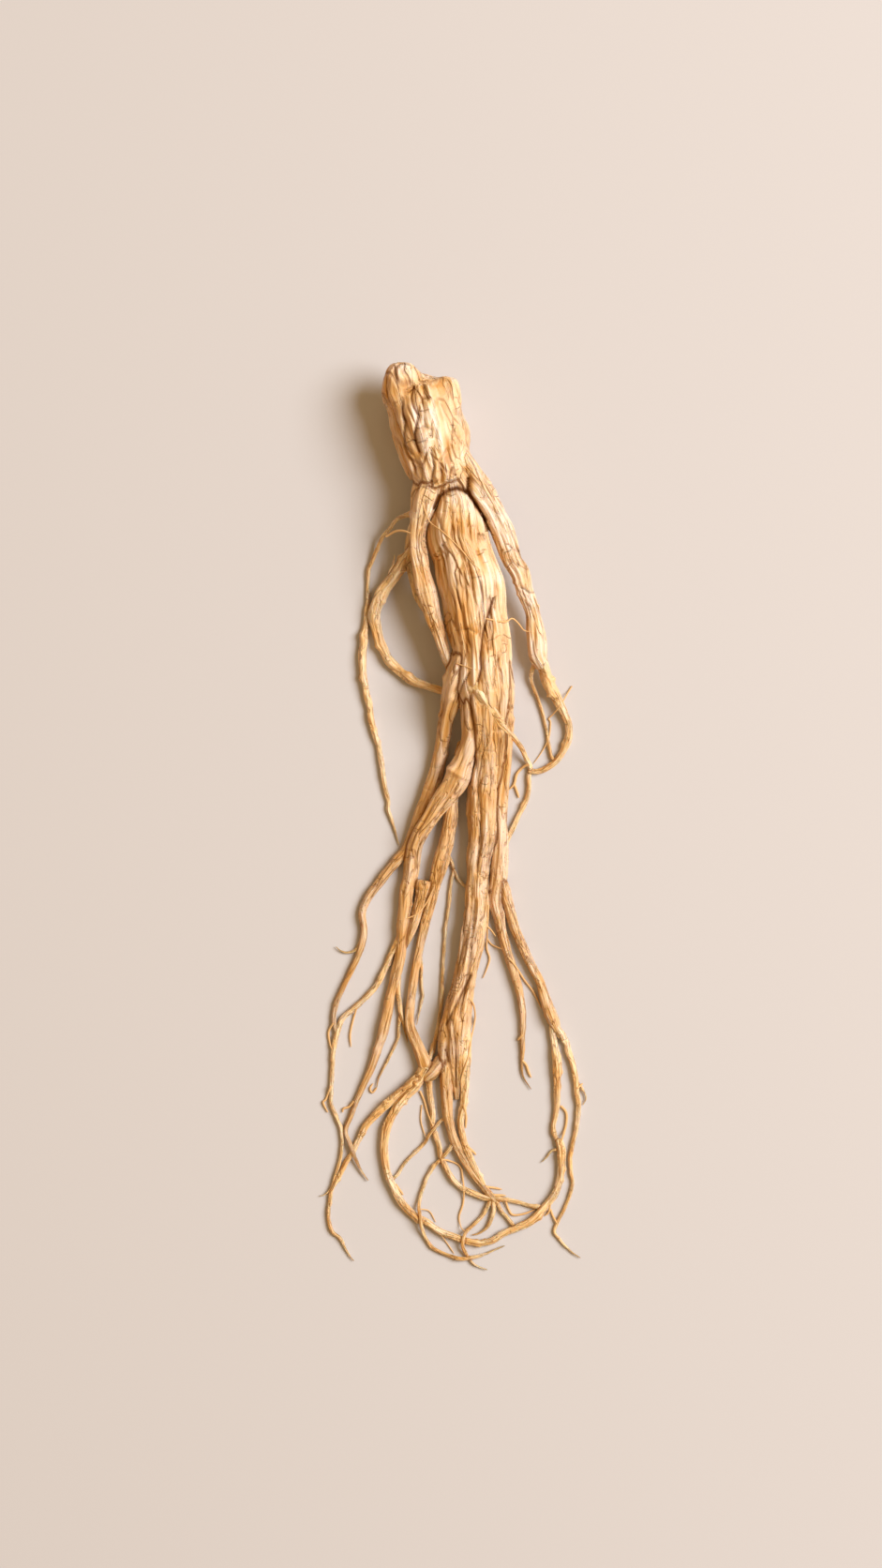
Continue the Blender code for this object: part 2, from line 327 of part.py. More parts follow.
LOBE_ROUTES = [LEFT_LOBE, RIGHT_LOBE]
LEG_ROUTES = [LEFT_ARM, RIGHT_ARM, CENTRE_LEG]
BRANCH_ROUTES = [
    LEFT_LEG, CROSSING_LEG, CUT_STUB, MIDDLE_LEG, NODE_BRIDGE, CENTRE_TAIL_LEFT,
    RIGHT_LEG, OUTER_LEG,
]
ROOTLET_ROUTES = [
    BACK_STRAND, HOOK_ROOT, RIGHT_ARM_LOOP, CENTRE_TAIL_RIGHT, OUTER_FORK_LEFT,
    LOOP_ROOT, TAIL_ROOT, INNER_ROOT, LONG_ROOTLET,
]
THREAD_ROUTES = [
    RIGHT_ARM_THREAD, HOOK_SPUR, LEFT_LEG_TWIG, LEG_FORK, LEG_FORK_THREAD, SIDE_ROOTLET,
    MIDDLE_TWIG, CROSS_ROOTLET, CROSS_LINK, OUTER_FORK_RIGHT, OUTER_TUFT, CURL_ROOTLET,
    LOOP_TWIG, INNER_CROSS_THREAD, BOTTOM_THREAD, LOWEST_THREAD, LOWER_CURL, LOWER_LINK,
]

# Creases on the upper side: the x, y points that each one follows, its depth and half-width.
CREASES = [
    ([(-9.4, 137.6), (-9.0, 134.0), (-8.4, 129.0), (-9.0, 123.0), (-8.6, 117.6)], 1.8, 1.5),
    ([(-2.0, 131.0), (-3.4, 124.0), (-3.0, 116.0), (-1.2, 109.0)], 1.0, 1.3),
    ([(-15.0, 127.0), (-13.6, 121.0), (-11.4, 113.0)], 1.0, 1.3),
    ([(8.7, 55.2), (8.4, 51.3), (8.7, 48.0), (7.8, 44.4)], 1.6, 1.3),
]


def clear_scene():
    for scene_object in list(bpy.data.objects):
        bpy.data.objects.remove(scene_object, do_unlink=True)


def curve_through(points):
    """Closely spaced points of a Catmull-Rom curve through a route."""
    knots = [Vector(point) for point in points]
    knots = [knots[0] * 2.0 - knots[1]] + knots + [knots[-1] * 2.0 - knots[-2]]
    curve = []
    for index in range(1, len(knots) - 2):
        before, start, end, after = knots[index - 1:index + 3]
        for number in range(POINTS_BETWEEN):
            share = number / POINTS_BETWEEN
            curve.append(0.5 * (
                2.0 * start
                + (end - before) * share
                + (2.0 * before - 5.0 * start + 4.0 * end - after) * share ** 2
                + (3.0 * start - before - 3.0 * end + after) * share ** 3))
    curve.append(knots[-2])
    return curve


def smooth_route(points, step):
    """Points of the curve through a route, all one even step apart."""
    curve = curve_through(points)
    lengths = [0.0]
    for before, after in zip(curve, curve[1:]):
        lengths.append(lengths[-1] + (after.xyz - before.xyz).length)
    count = max(2, round(lengths[-1] / step))
    samples = []
    index = 0
    for number in range(count):
        wanted = lengths[-1] * number / count
        while lengths[index + 1] < wanted:
            index += 1
        share = (wanted - lengths[index]) / (lengths[index + 1] - lengths[index])
        samples.append(curve[index].lerp(curve[index + 1], share))
    samples.append(curve[-1])
    return samples


def tube_mesh(samples, resolution):
    """One closed tube along the samples, whose radius follows their fourth number."""
    curve = bpy.data.curves.new("root_tube", "CURVE")
    curve.dimensions = "3D"
    curve.bevel_depth = MM
    curve.bevel_resolution = resolution
    curve.use_fill_caps = True
    spline = curve.splines.new("POLY")
    spline.points.add(len(samples) - 1)
    for point, sample in zip(spline.points, samples):
        point.co = (sample.x * MM, sample.y * MM, sample.z * MM, 1.0)
        point.radius = sample.w
    tube = bpy.data.objects.new("root_tube", curve)
    bpy.context.scene.collection.objects.link(tube)
    depsgraph = bpy.context.evaluated_depsgraph_get()
    mesh = bpy.data.meshes.new_from_object(tube.evaluated_get(depsgraph))
    bpy.data.objects.remove(tube, do_unlink=True)
    bpy.data.curves.remove(curve)
    return mesh


def crease_cut(x, y):
    """How far the creases of the upper side cut in at one place, in mm."""
    place = Vector((x, y))
    cut = 0.0
    for points, depth, half_width in CREASES:
        distance = min(
            distance_to_line(place, Vector(start), Vector(end))
            for start, end in zip(points, points[1:]))
        cut = max(cut, depth * math.exp(-(distance / half_width) ** 2))
    return cut


def distance_to_line(place, start, end):
    along = end - start
    share = (place - start).dot(along) / along.length_squared
    share = min(1.0, max(0.0, share))
    return (start + along * share - place).length


def skin_shift(angle, along, radius, seed):
    """Outward shift of the skin: ridges that run down the root, and creases across it."""
    round_x = math.cos(angle) * 1.7
    round_y = math.sin(angle) * 1.7
    ridges = noise.noise(Vector((round_x, round_y, along * 0.045 + seed)))
    swell = noise.noise(Vector((round_x * 0.5, round_y * 0.5, along * 0.11 + seed + 31.0)))
    across = noise.noise(Vector((round_x * 0.35, round_y * 0.35, along * 0.42 + seed + 67.0)))
    crease = -max(0.0, across) * 1.6
    return radius * (RIDGE_DEPTH * ridges + STRAND_DEPTH * swell + CREASE_DEPTH * crease)


def wrinkle(mesh, samples, seed, creased):
    """Moves a tube's points out and in by the skin's relief."""
    centres = kdtree.KDTree(len(samples))
    lengths = [0.0]
    for before, after in zip(samples, samples[1:]):
        lengths.append(lengths[-1] + (after.xyz - before.xyz).length)
    for number, sample in enumerate(samples):
        centres.insert(sample.xyz, number)
    centres.balance()
    for vertex in mesh.vertices:
        place = vertex.co / MM
        centre, number, gap = centres.find(place)
        outward = place - centre
        if outward.length < 0.01:
            continue
        outward.normalize()
        angle = math.atan2(outward.x, outward.z)
        shift = skin_shift(angle, lengths[number], samples[number].w, seed)
        if creased and outward.z > 0.0:
            shift -= crease_cut(place.x, place.y) * outward.z
        vertex.co = (place + outward * shift) * MM


def weld(mesh):
    work = bmesh.new()
    work.from_mesh(mesh)
    bmesh.ops.remove_doubles(work, verts=work.verts, dist=0.00001)
    work.to_mesh(mesh)
    work.free()


def add_tubes(routes, resolution, step, collection, relief=True, creased=False):
    """One closed tube object for each route, in the collection that the union reads."""
    for number, route in enumerate(routes):
        samples = smooth_route(route, step)
        mesh = tube_mesh(samples, resolution)
        if relief:
            wrinkle(mesh, samples, seed=number * 9.7 + resolution, creased=creased)
        weld(mesh)
        tube = bpy.data.objects.new("root_branch", mesh)
        collection.objects.link(tube)


def skin_material():
    material = bpy.data.materials.new("ginseng_skin")
    material.use_nodes = True
    shader = material.node_tree.nodes["Principled BSDF"]
    shader.inputs["Base Color"].default_value = (0.70, 0.42, 0.14, 1.0)
    shader.inputs["Roughness"].default_value = 0.5
    shader.inputs["Metallic"].default_value = 0.0
    return material


def keep_outer_body(mesh):
    """Fills any pocket that the fusing sealed off, by dropping its walls."""
    work = bmesh.new()
    work.from_mesh(mesh)
    bodies = []
    unseen = set(work.verts)
    while unseen:
        body = []
        front = [unseen.pop()]
        while front:
            vertex = front.pop()
            body.append(vertex)
            for edge in vertex.link_edges:
                neighbour = edge.other_vert(vertex)
                if neighbour in unseen:
                    unseen.remove(neighbour)
                    front.append(neighbour)
        bodies.append(body)
    bodies.sort(key=len)
    for body in bodies[:-1]:
        bmesh.ops.delete(work, geom=body, context="VERTS")
    work.to_mesh(mesh)
    work.free()


def apply_modifiers(target):
    depsgraph = bpy.context.evaluated_depsgraph_get()
    mesh = bpy.data.meshes.new_from_object(target.evaluated_get(depsgraph))
    target.modifiers.clear()
    target.data = mesh


def fuse(target, collection):
    union = target.modifiers.new("fuse", "BOOLEAN")
    union.operation = "UNION"
    union.solver = "MANIFOLD"
    union.operand_type = "COLLECTION"
    union.collection = collection
    apply_modifiers(target)
    for branch in list(collection.objects):
        bpy.data.objects.remove(branch, do_unlink=True)
    bpy.data.collections.remove(collection)


def flatten_underside(target):
    """Cuts the root off level with the surface, which leaves the spots that it rests on."""
    bpy.ops.mesh.primitive_cube_add(size=1.0, location=(0.0, 0.0, -0.02))
    ground = bpy.context.active_object
    ground.scale = (0.2, 0.4, 0.04)
    bpy.context.view_layer.update()
    cut = target.modifiers.new("level", "BOOLEAN")
    cut.operation = "DIFFERENCE"
    cut.solver = "MANIFOLD"
    cut.object = ground
    apply_modifiers(target)
    bpy.data.objects.remove(ground, do_unlink=True)


def build_root():
    collection = bpy.data.collections.new("ginseng_root")
    bpy.context.scene.collection.children.link(collection)
    branches = bpy.data.collections.new("branches")
    bpy.context.scene.collection.children.link(branches)

    samples = smooth_route(TRUNK, TRUNK_STEP)
    trunk = tube_mesh(samples, TRUNK_SIDES)
    wrinkle(trunk, samples, seed=4.0, creased=True)
    weld(trunk)
    root = bpy.data.objects.new("ginseng_root", trunk)
    collection.objects.link(root)

    add_tubes([SHOULDERS], TRUNK_SIDES, TRUNK_STEP, branches, creased=True)
    add_tubes(LOBE_ROUTES, LEG_SIDES, TRUNK_STEP, branches)
    add_tubes(LEG_ROUTES, LEG_SIDES, LEG_STEP, branches)
    add_tubes(BRANCH_ROUTES, BRANCH_SIDES, BRANCH_STEP, branches)
    add_tubes(ROOTLET_ROUTES, ROOTLET_SIDES, ROOTLET_STEP, branches, relief=False)
    add_tubes(THREAD_ROUTES, THREAD_SIDES, THREAD_STEP, branches, relief=False)
    fuse(root, branches)
    flatten_underside(root)
    keep_outer_body(root.data)

    middle = Vector((BOX_MIDDLE_X, BOX_MIDDLE_Y, 0.0)) * MM
    for vertex in root.data.vertices:
        vertex.co -= middle
    root.data.materials.clear()
    root.data.materials.append(skin_material())
    root.data.shade_smooth()
    root.data.set_sharp_from_angle(angle=math.radians(60.0))


clear_scene()
build_root()
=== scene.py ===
"""Looks of a fresh ginseng root that lies on its back on a pale surface.

The root is dressed in three pieces: the body with its arms and legs, the rootlets, and the
hairs. The routes are those of the solid, so each piece stays where the solid is.

Lengths in the routes and in the skin's sizes are millimetres, and the meshes are in metres.
"""
import math

import bmesh
import bpy
import numpy as np
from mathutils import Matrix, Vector, kdtree
from mathutils.bvhtree import BVHTree


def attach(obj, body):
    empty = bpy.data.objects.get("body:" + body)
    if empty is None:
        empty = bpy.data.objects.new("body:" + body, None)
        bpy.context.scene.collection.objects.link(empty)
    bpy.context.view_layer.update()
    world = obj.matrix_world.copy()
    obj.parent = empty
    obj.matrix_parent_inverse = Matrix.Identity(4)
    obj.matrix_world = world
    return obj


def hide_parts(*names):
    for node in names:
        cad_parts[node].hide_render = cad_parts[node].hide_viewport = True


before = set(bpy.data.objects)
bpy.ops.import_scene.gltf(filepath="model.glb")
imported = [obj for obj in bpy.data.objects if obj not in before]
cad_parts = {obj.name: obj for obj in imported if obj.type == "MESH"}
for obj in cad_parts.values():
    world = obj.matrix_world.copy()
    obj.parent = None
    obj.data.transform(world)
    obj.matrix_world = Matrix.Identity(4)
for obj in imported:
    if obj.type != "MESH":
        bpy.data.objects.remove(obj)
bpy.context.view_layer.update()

MM = 0.001
NODE = "ginseng_root"

# The middle of the root's box, in the millimetres that the routes are written in.
BOX_MIDDLE = (-0.35, 0.05, 0.0)

# The photograph's frame, in pixels, and how large one of its pixels is on the root.
PHOTO_WIDTH = 941
PHOTO_HEIGHT = 1672
PIXEL_MM = 0.3
ROOT_MIDDLE_PIXEL = (484.0, 874.0)
LENS_MM = 100.0
SENSOR_MM = 36.0

# Each route is a list of points: x, y, z of the centre line and the radius, in mm.
SHOULDERS = [
    (-9.6, 142.0, 12.4, 2.6), (-9.7, 141.4, 12.3, 5.2), (-9.9, 139.8, 12.0, 8.2),
    (-10.0, 137.4, 11.8, 10.3), (-9.9, 134.6, 11.5, 11.5), (-9.3, 131.2, 11.4, 11.9),
    (-8.3, 127.4, 11.3, 11.8), (-7.4, 123.4, 11.3, 11.8), (-6.2, 119.0, 11.3, 11.7),
    (-4.9, 115.0, 11.3, 11.2), (-3.6, 111.8, 11.4, 10.7), (-2.3, 109.0, 11.6, 10.0),
    (-1.4, 106.8, 11.8, 8.6), (-0.9, 105.4, 12.0, 5.0),
]
LEFT_LOBE = [
    (-15.4, 144.7, 13.4, 2.6), (-15.5, 144.1, 13.6, 4.6), (-15.7, 142.4, 13.9, 6.2),
    (-15.8, 139.8, 14.0, 7.0), (-15.6, 136.2, 13.8, 7.2), (-15.0, 132.2, 13.4, 6.8),
    (-14.2, 128.0, 13.0, 5.6), (-13.0, 124.0, 12.8, 4.2),
]
RIGHT_LOBE = [
    (-3.6, 140.8, 13.2, 2.6), (-3.6, 140.2, 13.3, 4.4), (-3.5, 138.4, 13.5, 5.8),
    (-3.4, 135.8, 13.6, 6.3), (-3.2, 132.0, 13.5, 6.2), (-3.2, 128.6, 13.2, 5.8),
    (-3.0, 124.5, 13.0, 5.0), (-2.6, 119.0, 13.0, 4.2),
]
TRUNK = [
    (-0.8, 111.0, 11.2, 5.0), (-0.2, 106.4, 11.2, 7.0), (0.6, 101.6, 10.8, 8.2),
    (0.9, 97.6, 10.4, 9.1), (1.0, 93.6, 10.1, 9.9), (1.4, 89.7, 9.9, 10.2),
    (3.0, 85.0, 9.6, 9.9), (4.4, 80.2, 9.6, 10.1), (5.6, 75.0, 9.8, 10.3),
    (6.2, 71.1, 9.8, 10.2), (7.2, 64.5, 9.6, 9.9), (8.2, 58.2, 9.5, 9.6),
    (8.8, 52.5, 9.5, 9.7), (9.2, 47.0, 9.5, 10.0), (9.9, 42.0, 9.4, 9.5),
    (10.8, 36.8, 8.9, 8.4), (11.7, 31.4, 8.0, 6.9), (12.4, 25.8, 6.9, 5.4),
    (12.8, 20.0, 5.8, 4.2), (12.8, 14.2, 4.8, 3.0), (12.6, 9.6, 4.0, 1.6),
]
LEFT_ARM = [
    (-5.4, 113.4, 12.6, 5.0), (-7.0, 108.6, 13.6, 5.1), (-8.4, 103.8, 13.8, 4.8),
    (-9.7, 99.0, 13.4, 4.1), (-11.0, 94.6, 12.8, 3.3), (-11.7, 90.2, 12.4, 2.8),
    (-11.4, 85.2, 12.2, 2.8), (-10.1, 78.6, 12.2, 2.9), (-8.4, 71.7, 12.0, 3.1),
    (-6.6, 65.1, 11.6, 2.5), (-4.8, 60.0, 11.2, 2.2), (-2.9, 53.7, 11.0, 1.8),
    (-1.2, 48.6, 10.8, 1.5), (0.8, 43.4, 10.6, 1.2),
]
BACK_STRAND = [
    (-10.8, 96.6, 10.0, 1.9), (-13.2, 92.4, 8.6, 1.7), (-14.1, 88.2, 7.6, 1.5),
    (-14.1, 83.4, 7.0, 1.5), (-13.5, 79.2, 7.0, 1.5), (-11.4, 71.4, 7.6, 1.3),
    (-7.6, 65.4, 8.6, 1.1), (-2.0, 61.8, 9.0, 0.9),
]
RIGHT_ARM = [
    (0.6, 115.6, 13.0, 4.8), (4.0, 110.6, 14.2, 4.9), (7.6, 106.0, 14.0, 4.3),
    (10.4, 101.9, 13.2, 3.9), (12.9, 97.8, 12.4, 3.7), (16.2, 90.3, 11.2, 3.6),
    (18.6, 83.1, 9.8, 3.1), (21.2, 78.6, 8.8, 3.2), (22.8, 73.2, 7.8, 2.7),
    (25.2, 66.3, 6.6, 2.4), (26.3, 59.7, 5.6, 2.9), (26.9, 53.1, 4.6, 3.1),
    (28.2, 49.8, 4.2, 2.4),
]
RIGHT_ARM_LOOP = [
    (27.6, 52.0, 4.4, 2.3), (28.8, 48.9, 4.0, 2.1), (30.0, 45.0, 3.4, 2.0),
    (31.8, 41.1, 2.8, 1.9), (33.9, 37.5, 2.2, 1.6), (35.4, 34.5, 1.8, 1.4),
    (36.8, 31.2, 1.5, 1.3), (37.2, 27.6, 1.3, 1.3), (36.6, 24.9, 1.2, 1.2),
    (35.4, 22.2, 1.1, 1.1), (33.3, 19.2, 1.0, 1.0), (30.9, 17.1, 1.0, 1.0),
    (27.9, 15.6, 1.0, 0.95), (24.4, 15.4, 1.0, 0.9),
]
RIGHT_ARM_THREAD = [
    (26.7, 52.2, 3.6, 1.0), (25.5, 48.6, 2.6, 0.8), (24.9, 45.0, 1.8, 0.6),
    (26.3, 41.1, 1.1, 0.6), (27.9, 36.6, 0.7, 0.55), (29.1, 32.4, 0.6, 0.55),
    (30.0, 28.2, 0.6, 0.55), (30.6, 24.3, 0.7, 0.55), (31.4, 20.6, 0.8, 0.6),
    (32.4, 18.6, 1.0, 0.6),
]
HOOK_ROOT = [
    (-11.6, 87.6, 9.6, 1.9), (-14.6, 84.2, 7.6, 1.9), (-17.4, 80.4, 6.0, 1.9),
    (-20.4, 76.5, 4.6, 2.0), (-23.3, 72.3, 3.3, 2.1), (-24.9, 68.1, 2.5, 2.1),
    (-25.5, 64.5, 2.0, 2.0), (-24.7, 60.3, 1.7, 1.8), (-23.7, 57.0, 1.5, 1.6),
    (-21.9, 53.1, 1.5, 1.6), (-19.5, 49.8, 1.5, 1.6), (-16.2, 46.8, 1.7, 1.5),
    (-12.3, 44.1, 2.6, 1.4), (-8.1, 42.6, 4.2, 1.3), (-4.4, 41.4, 5.8, 1.3),
    (0.0, 40.2, 7.0, 1.2),
]
HOOK_SPUR = [
    (-20.4, 77.4, 4.8, 1.0), (-20.3, 79.6, 5.4, 0.8), (-19.4, 81.6, 6.0, 0.75),
    (-18.9, 84.6, 6.6, 0.6),
]
LONG_ROOTLET = [
    (-11.4, 98.2, 10.4, 1.2), (-15.6, 97.2, 8.2, 0.8), (-18.6, 95.7, 6.6, 0.65),
    (-20.7, 93.0, 5.2, 0.65), (-22.8, 90.6, 4.0, 0.65), (-24.6, 86.7, 2.6, 0.65),
    (-26.1, 83.1, 1.6, 0.65), (-27.3, 80.1, 1.0, 0.65), (-27.6, 75.0, 0.7, 0.65),
    (-27.7, 69.9, 0.7, 0.7), (-27.9, 66.6, 0.8, 0.85), (-28.3, 62.4, 1.0, 1.05),
    (-29.0, 57.3, 1.3, 1.35), (-29.4, 51.9, 1.3, 1.35), (-29.0, 46.2, 1.2, 1.2),
    (-28.2, 41.1, 1.1, 1.15), (-27.0, 35.7, 1.0, 1.1), (-26.4, 31.2, 1.0, 1.05),
    (-24.3, 24.0, 0.9, 0.9), (-23.1, 17.1, 0.9, 0.9), (-22.2, 11.1, 0.8, 0.8),
    (-21.0, 6.0, 0.65, 0.65), (-21.0, 3.0, 0.6, 0.6), (-19.8, -0.3, 0.6, 0.6),
    (-18.0, -6.6, 0.5, 0.5), (-17.4, -8.4, 0.5, 0.45),
]
LEFT_LEG = [
    (6.0, 62.0, 9.6, 3.4), (5.1, 56.6, 10.5, 4.2), (3.9, 51.0, 11.3, 4.9),
    (2.1, 45.6, 11.6, 4.7), (0.1, 40.4, 10.5, 3.8), (-1.5, 35.0, 8.2, 2.8),
    (-2.6, 30.6, 6.0, 2.3),
    (-3.2, 26.4, 4.3, 2.3), (-3.9, 22.2, 3.1, 2.3), (-5.0, 17.7, 2.4, 2.4),
    (-6.0, 13.5, 2.3, 2.4), (-8.1, 7.8, 2.3, 2.4), (-10.4, 1.8, 2.2, 2.4),
    (-12.4, -4.2, 2.0, 2.2), (-14.7, -9.3, 1.8, 1.9), (-17.4, -12.3, 1.7, 1.75),
    (-20.3, -15.8, 1.6, 1.65), (-24.9, -21.6, 1.3, 1.4), (-27.9, -25.8, 1.2, 1.3),
    (-29.4, -30.3, 1.2, 1.25), (-28.8, -35.4, 1.2, 1.2), (-29.1, -38.7, 1.2, 1.2),
    (-30.9, -44.4, 1.0, 1.05), (-34.5, -51.9, 0.9, 0.9), (-37.5, -58.8, 0.9, 0.9),
    (-38.5, -64.2, 0.8, 0.8), (-37.6, -68.4, 0.8, 0.75),
]
LEFT_LEG_TWIG = [
    (-29.2, -37.8, 1.1, 0.7), (-31.2, -41.6, 0.8, 0.6), (-34.0, -42.8, 0.6, 0.6),
    (-36.3, -42.2, 0.6, 0.55), (-37.8, -41.0, 0.6, 0.5),
]
CROSSING_LEG = [
    (7.4, 53.0, 12.6, 2.4), (6.2, 47.0, 13.8, 3.2), (5.2, 40.0, 13.0, 3.2),
    (5.1, 32.4, 11.4, 2.7), (5.6, 26.7, 9.8, 2.8), (3.9, 20.7, 8.4, 3.2),
    (1.5, 14.7, 7.4, 3.9), (-1.2, 9.6, 6.8, 3.9), (-4.8, 4.8, 6.4, 3.0),
    (-7.8, 0.0, 5.8, 2.6), (-10.8, -4.8, 4.6, 2.5), (-12.6, -9.3, 3.2, 2.5),
    (-13.2, -13.2, 2.5, 2.5), (-14.0, -18.3, 2.3, 2.4), (-15.3, -24.3, 2.2, 2.3),
    (-15.9, -30.3, 2.0, 2.1), (-16.5, -36.3, 1.9, 2.0), (-16.9, -42.3, 1.8, 1.8),
    (-18.0, -48.3, 1.7, 1.8), (-19.8, -54.6, 1.5, 1.5), (-21.2, -61.8, 1.6, 1.7),
    (-22.7, -68.4, 1.6, 1.65), (-24.6, -74.4, 1.3, 1.4), (-26.4, -79.8, 1.1, 1.2),
    (-28.8, -85.2, 1.0, 1.0), (-31.2, -90.6, 0.9, 0.9), (-33.0, -95.4, 0.8, 0.8),
    (-34.8, -100.2, 0.9, 0.8), (-33.5, -103.8, 1.4, 0.75), (-32.1, -107.6, 1.6, 0.7),
    (-30.0, -112.5, 0.8, 0.7), (-27.5, -116.1, 0.7, 0.65),
]
CUT_STUB = [
    (-16.4, -41.8, 1.7, 1.0), (-14.4, -37.6, 1.8, 1.5), (-11.9, -30.3, 2.1, 1.8),
    (-10.6, -25.0, 2.4, 1.9), (-9.9, -21.4, 2.6, 2.6), (-9.6, -19.8, 2.7, 2.6),
]
LEG_FORK = [
    (-17.9, -48.0, 1.5, 1.1), (-17.9, -52.2, 1.0, 0.95), (-17.7, -56.1, 0.9, 0.9),
    (-17.1, -61.5, 0.8, 0.8), (-15.9, -66.6, 0.7, 0.7), (-14.9, -71.6, 0.6, 0.5),
]
LEG_FORK_THREAD = [
    (-17.1, -62.0, 0.8, 0.6), (-17.6, -66.6, 0.6, 0.55), (-17.8, -70.2, 0.55, 0.5),
    (-19.5, -74.1, 0.55, 0.5), (-21.9, -78.9, 0.5, 0.5), (-24.0, -83.1, 0.5, 0.5),
    (-24.8, -86.4, 0.5, 0.5),
]
SIDE_ROOTLET = [
    (-16.8, -37.2, 1.8, 1.3), (-19.2, -41.7, 1.3, 1.1), (-21.3, -46.2, 1.0, 1.05),
    (-23.4, -50.7, 1.0, 1.05), (-25.2, -54.0, 1.0, 0.95), (-27.6, -56.7, 0.9, 0.9),
    (-31.2, -60.0, 0.9, 0.9), (-35.4, -63.6, 0.9, 0.9), (-37.1, -67.2, 0.9, 0.9),
    (-38.6, -74.1, 0.8, 0.8), (-39.0, -80.4, 0.75, 0.75), (-39.4, -87.3, 0.7, 0.7),
    (-39.3, -91.8, 0.65, 0.65), (-37.4, -96.6, 0.6, 0.6), (-36.1, -100.2, 0.7, 0.6),
    (-35.9, -105.0, 0.7, 0.55), (-36.6, -110.1, 0.8, 0.55), (-38.1, -114.6, 0.9, 0.5),
    (-39.4, -118.5, 1.0, 0.5), (-41.3, -120.6, 0.6, 0.5), (-42.9, -121.1, 0.5, 0.45),
]
MIDDLE_LEG = [
    (3.4, 24.0, 6.4, 2.2), (1.8, 17.6, 5.6, 2.3), (0.2, 11.0, 4.6, 2.2),
    (-0.6, 5.6, 3.6, 2.1), (-1.2, 0.3, 2.8, 2.4), (-1.8, -4.2, 2.5, 2.6),
    (-3.0, -9.3, 2.4, 2.6), (-4.2, -13.8, 2.4, 2.6), (-5.4, -18.3, 2.2, 2.3),
    (-6.6, -23.1, 1.7, 1.8), (-8.1, -29.1, 1.6, 1.7), (-9.6, -35.1, 1.4, 1.5),
    (-11.0, -41.4, 1.3, 1.3), (-12.0, -46.2, 1.3, 1.3), (-12.8, -51.3, 1.3, 1.4),
    (-13.5, -57.3, 1.4, 1.45), (-14.1, -64.8, 1.5, 1.5), (-12.6, -70.2, 1.8, 1.8),
    (-10.5, -75.0, 1.9, 2.0), (-9.0, -78.9, 2.0, 2.2), (-8.6, -81.6, 2.0, 1.6),
]
MIDDLE_TWIG = [
    (-11.2, -41.6, 1.4, 0.6), (-10.4, -46.0, 0.8, 0.55), (-10.3, -52.8, 0.55, 0.5),
    (-9.9, -56.8, 0.55, 0.5), (-10.8, -61.0, 0.55, 0.5), (-11.9, -66.0, 1.0, 0.55),
]
CROSS_ROOTLET = [
    (-3.6, -8.4, 2.4, 1.0), (-1.2, -12.6, 1.0, 0.7), (0.0, -16.6, 0.6, 0.6),
    (-0.8, -20.4, 0.6, 0.6), (-1.5, -27.6, 0.6, 0.6), (-2.4, -33.9, 0.55, 0.55),
    (-2.9, -39.9, 0.55, 0.55), (-3.3, -46.2, 0.55, 0.55), (-3.6, -52.8, 0.6, 0.6),
    (-4.0, -58.8, 0.6, 0.6), (-4.9, -65.4, 0.6, 0.6), (-6.0, -71.4, 0.8, 0.7),
    (-7.8, -77.4, 1.6, 0.8),
]
CROSS_LINK = [
    (-0.2, -15.8, 0.7, 0.6), (2.0, -19.8, 0.8, 0.55), (4.4, -22.0, 1.8, 0.6),
    (6.6, -23.4, 2.6, 0.7),
]
CENTRE_LEG = [
    (9.4, 47.0, 13.4, 4.2), (9.4, 41.6, 13.6, 4.9), (9.6, 36.0, 12.8, 4.6),
    (9.9, 30.4, 11.2, 4.1), (10.2, 24.8, 9.4, 3.8), (10.1, 19.6, 7.8, 3.7),
    (9.6, 14.0, 6.3, 4.0), (9.0, 7.2, 5.0, 4.6), (9.0, 0.3, 4.5, 4.5),
    (9.0, -6.3, 4.2, 4.3), (7.8, -15.3, 3.6, 3.7), (7.5, -22.8, 3.6, 3.8),
    (7.5, -27.6, 3.8, 3.9), (6.8, -34.5, 3.8, 3.9), (5.9, -39.6, 3.7, 3.8),
    (4.5, -46.5, 3.5, 3.6), (2.9, -53.4, 3.5, 3.6), (1.8, -59.1, 4.0, 4.2),
    (0.9, -65.4, 4.3, 4.5), (0.5, -71.4, 3.9, 4.1), (0.4, -76.6, 3.2, 3.3),
    (0.6, -81.4, 2.4, 2.4), (0.9, -86.0, 1.6, 1.4), (1.0, -89.6, 1.1, 0.8),
]
NODE_BRIDGE = [
    (-1.4, -73.6, 3.6, 2.1), (-3.6, -77.4, 3.0, 2.4), (-6.2, -80.6, 2.5, 2.5),
    (-8.8, -82.8, 2.1, 2.0),
]
CENTRE_TAIL_LEFT = [
    (-0.8, -62.0, 4.8, 2.4), (-1.8, -67.6, 4.6, 2.7), (-2.3, -73.4, 3.8, 2.6),
    (-2.4, -79.0, 2.8, 2.4), (-2.4, -84.4, 2.1, 2.0), (-2.2, -90.6, 1.7, 1.8),
    (-1.5, -96.9, 1.5, 1.6), (0.3, -103.2, 1.4, 1.45), (3.4, -109.5, 1.2, 1.3),
    (7.2, -115.2, 1.1, 1.2), (11.7, -120.6, 1.1, 1.2), (13.2, -122.4, 1.0, 1.0),
]
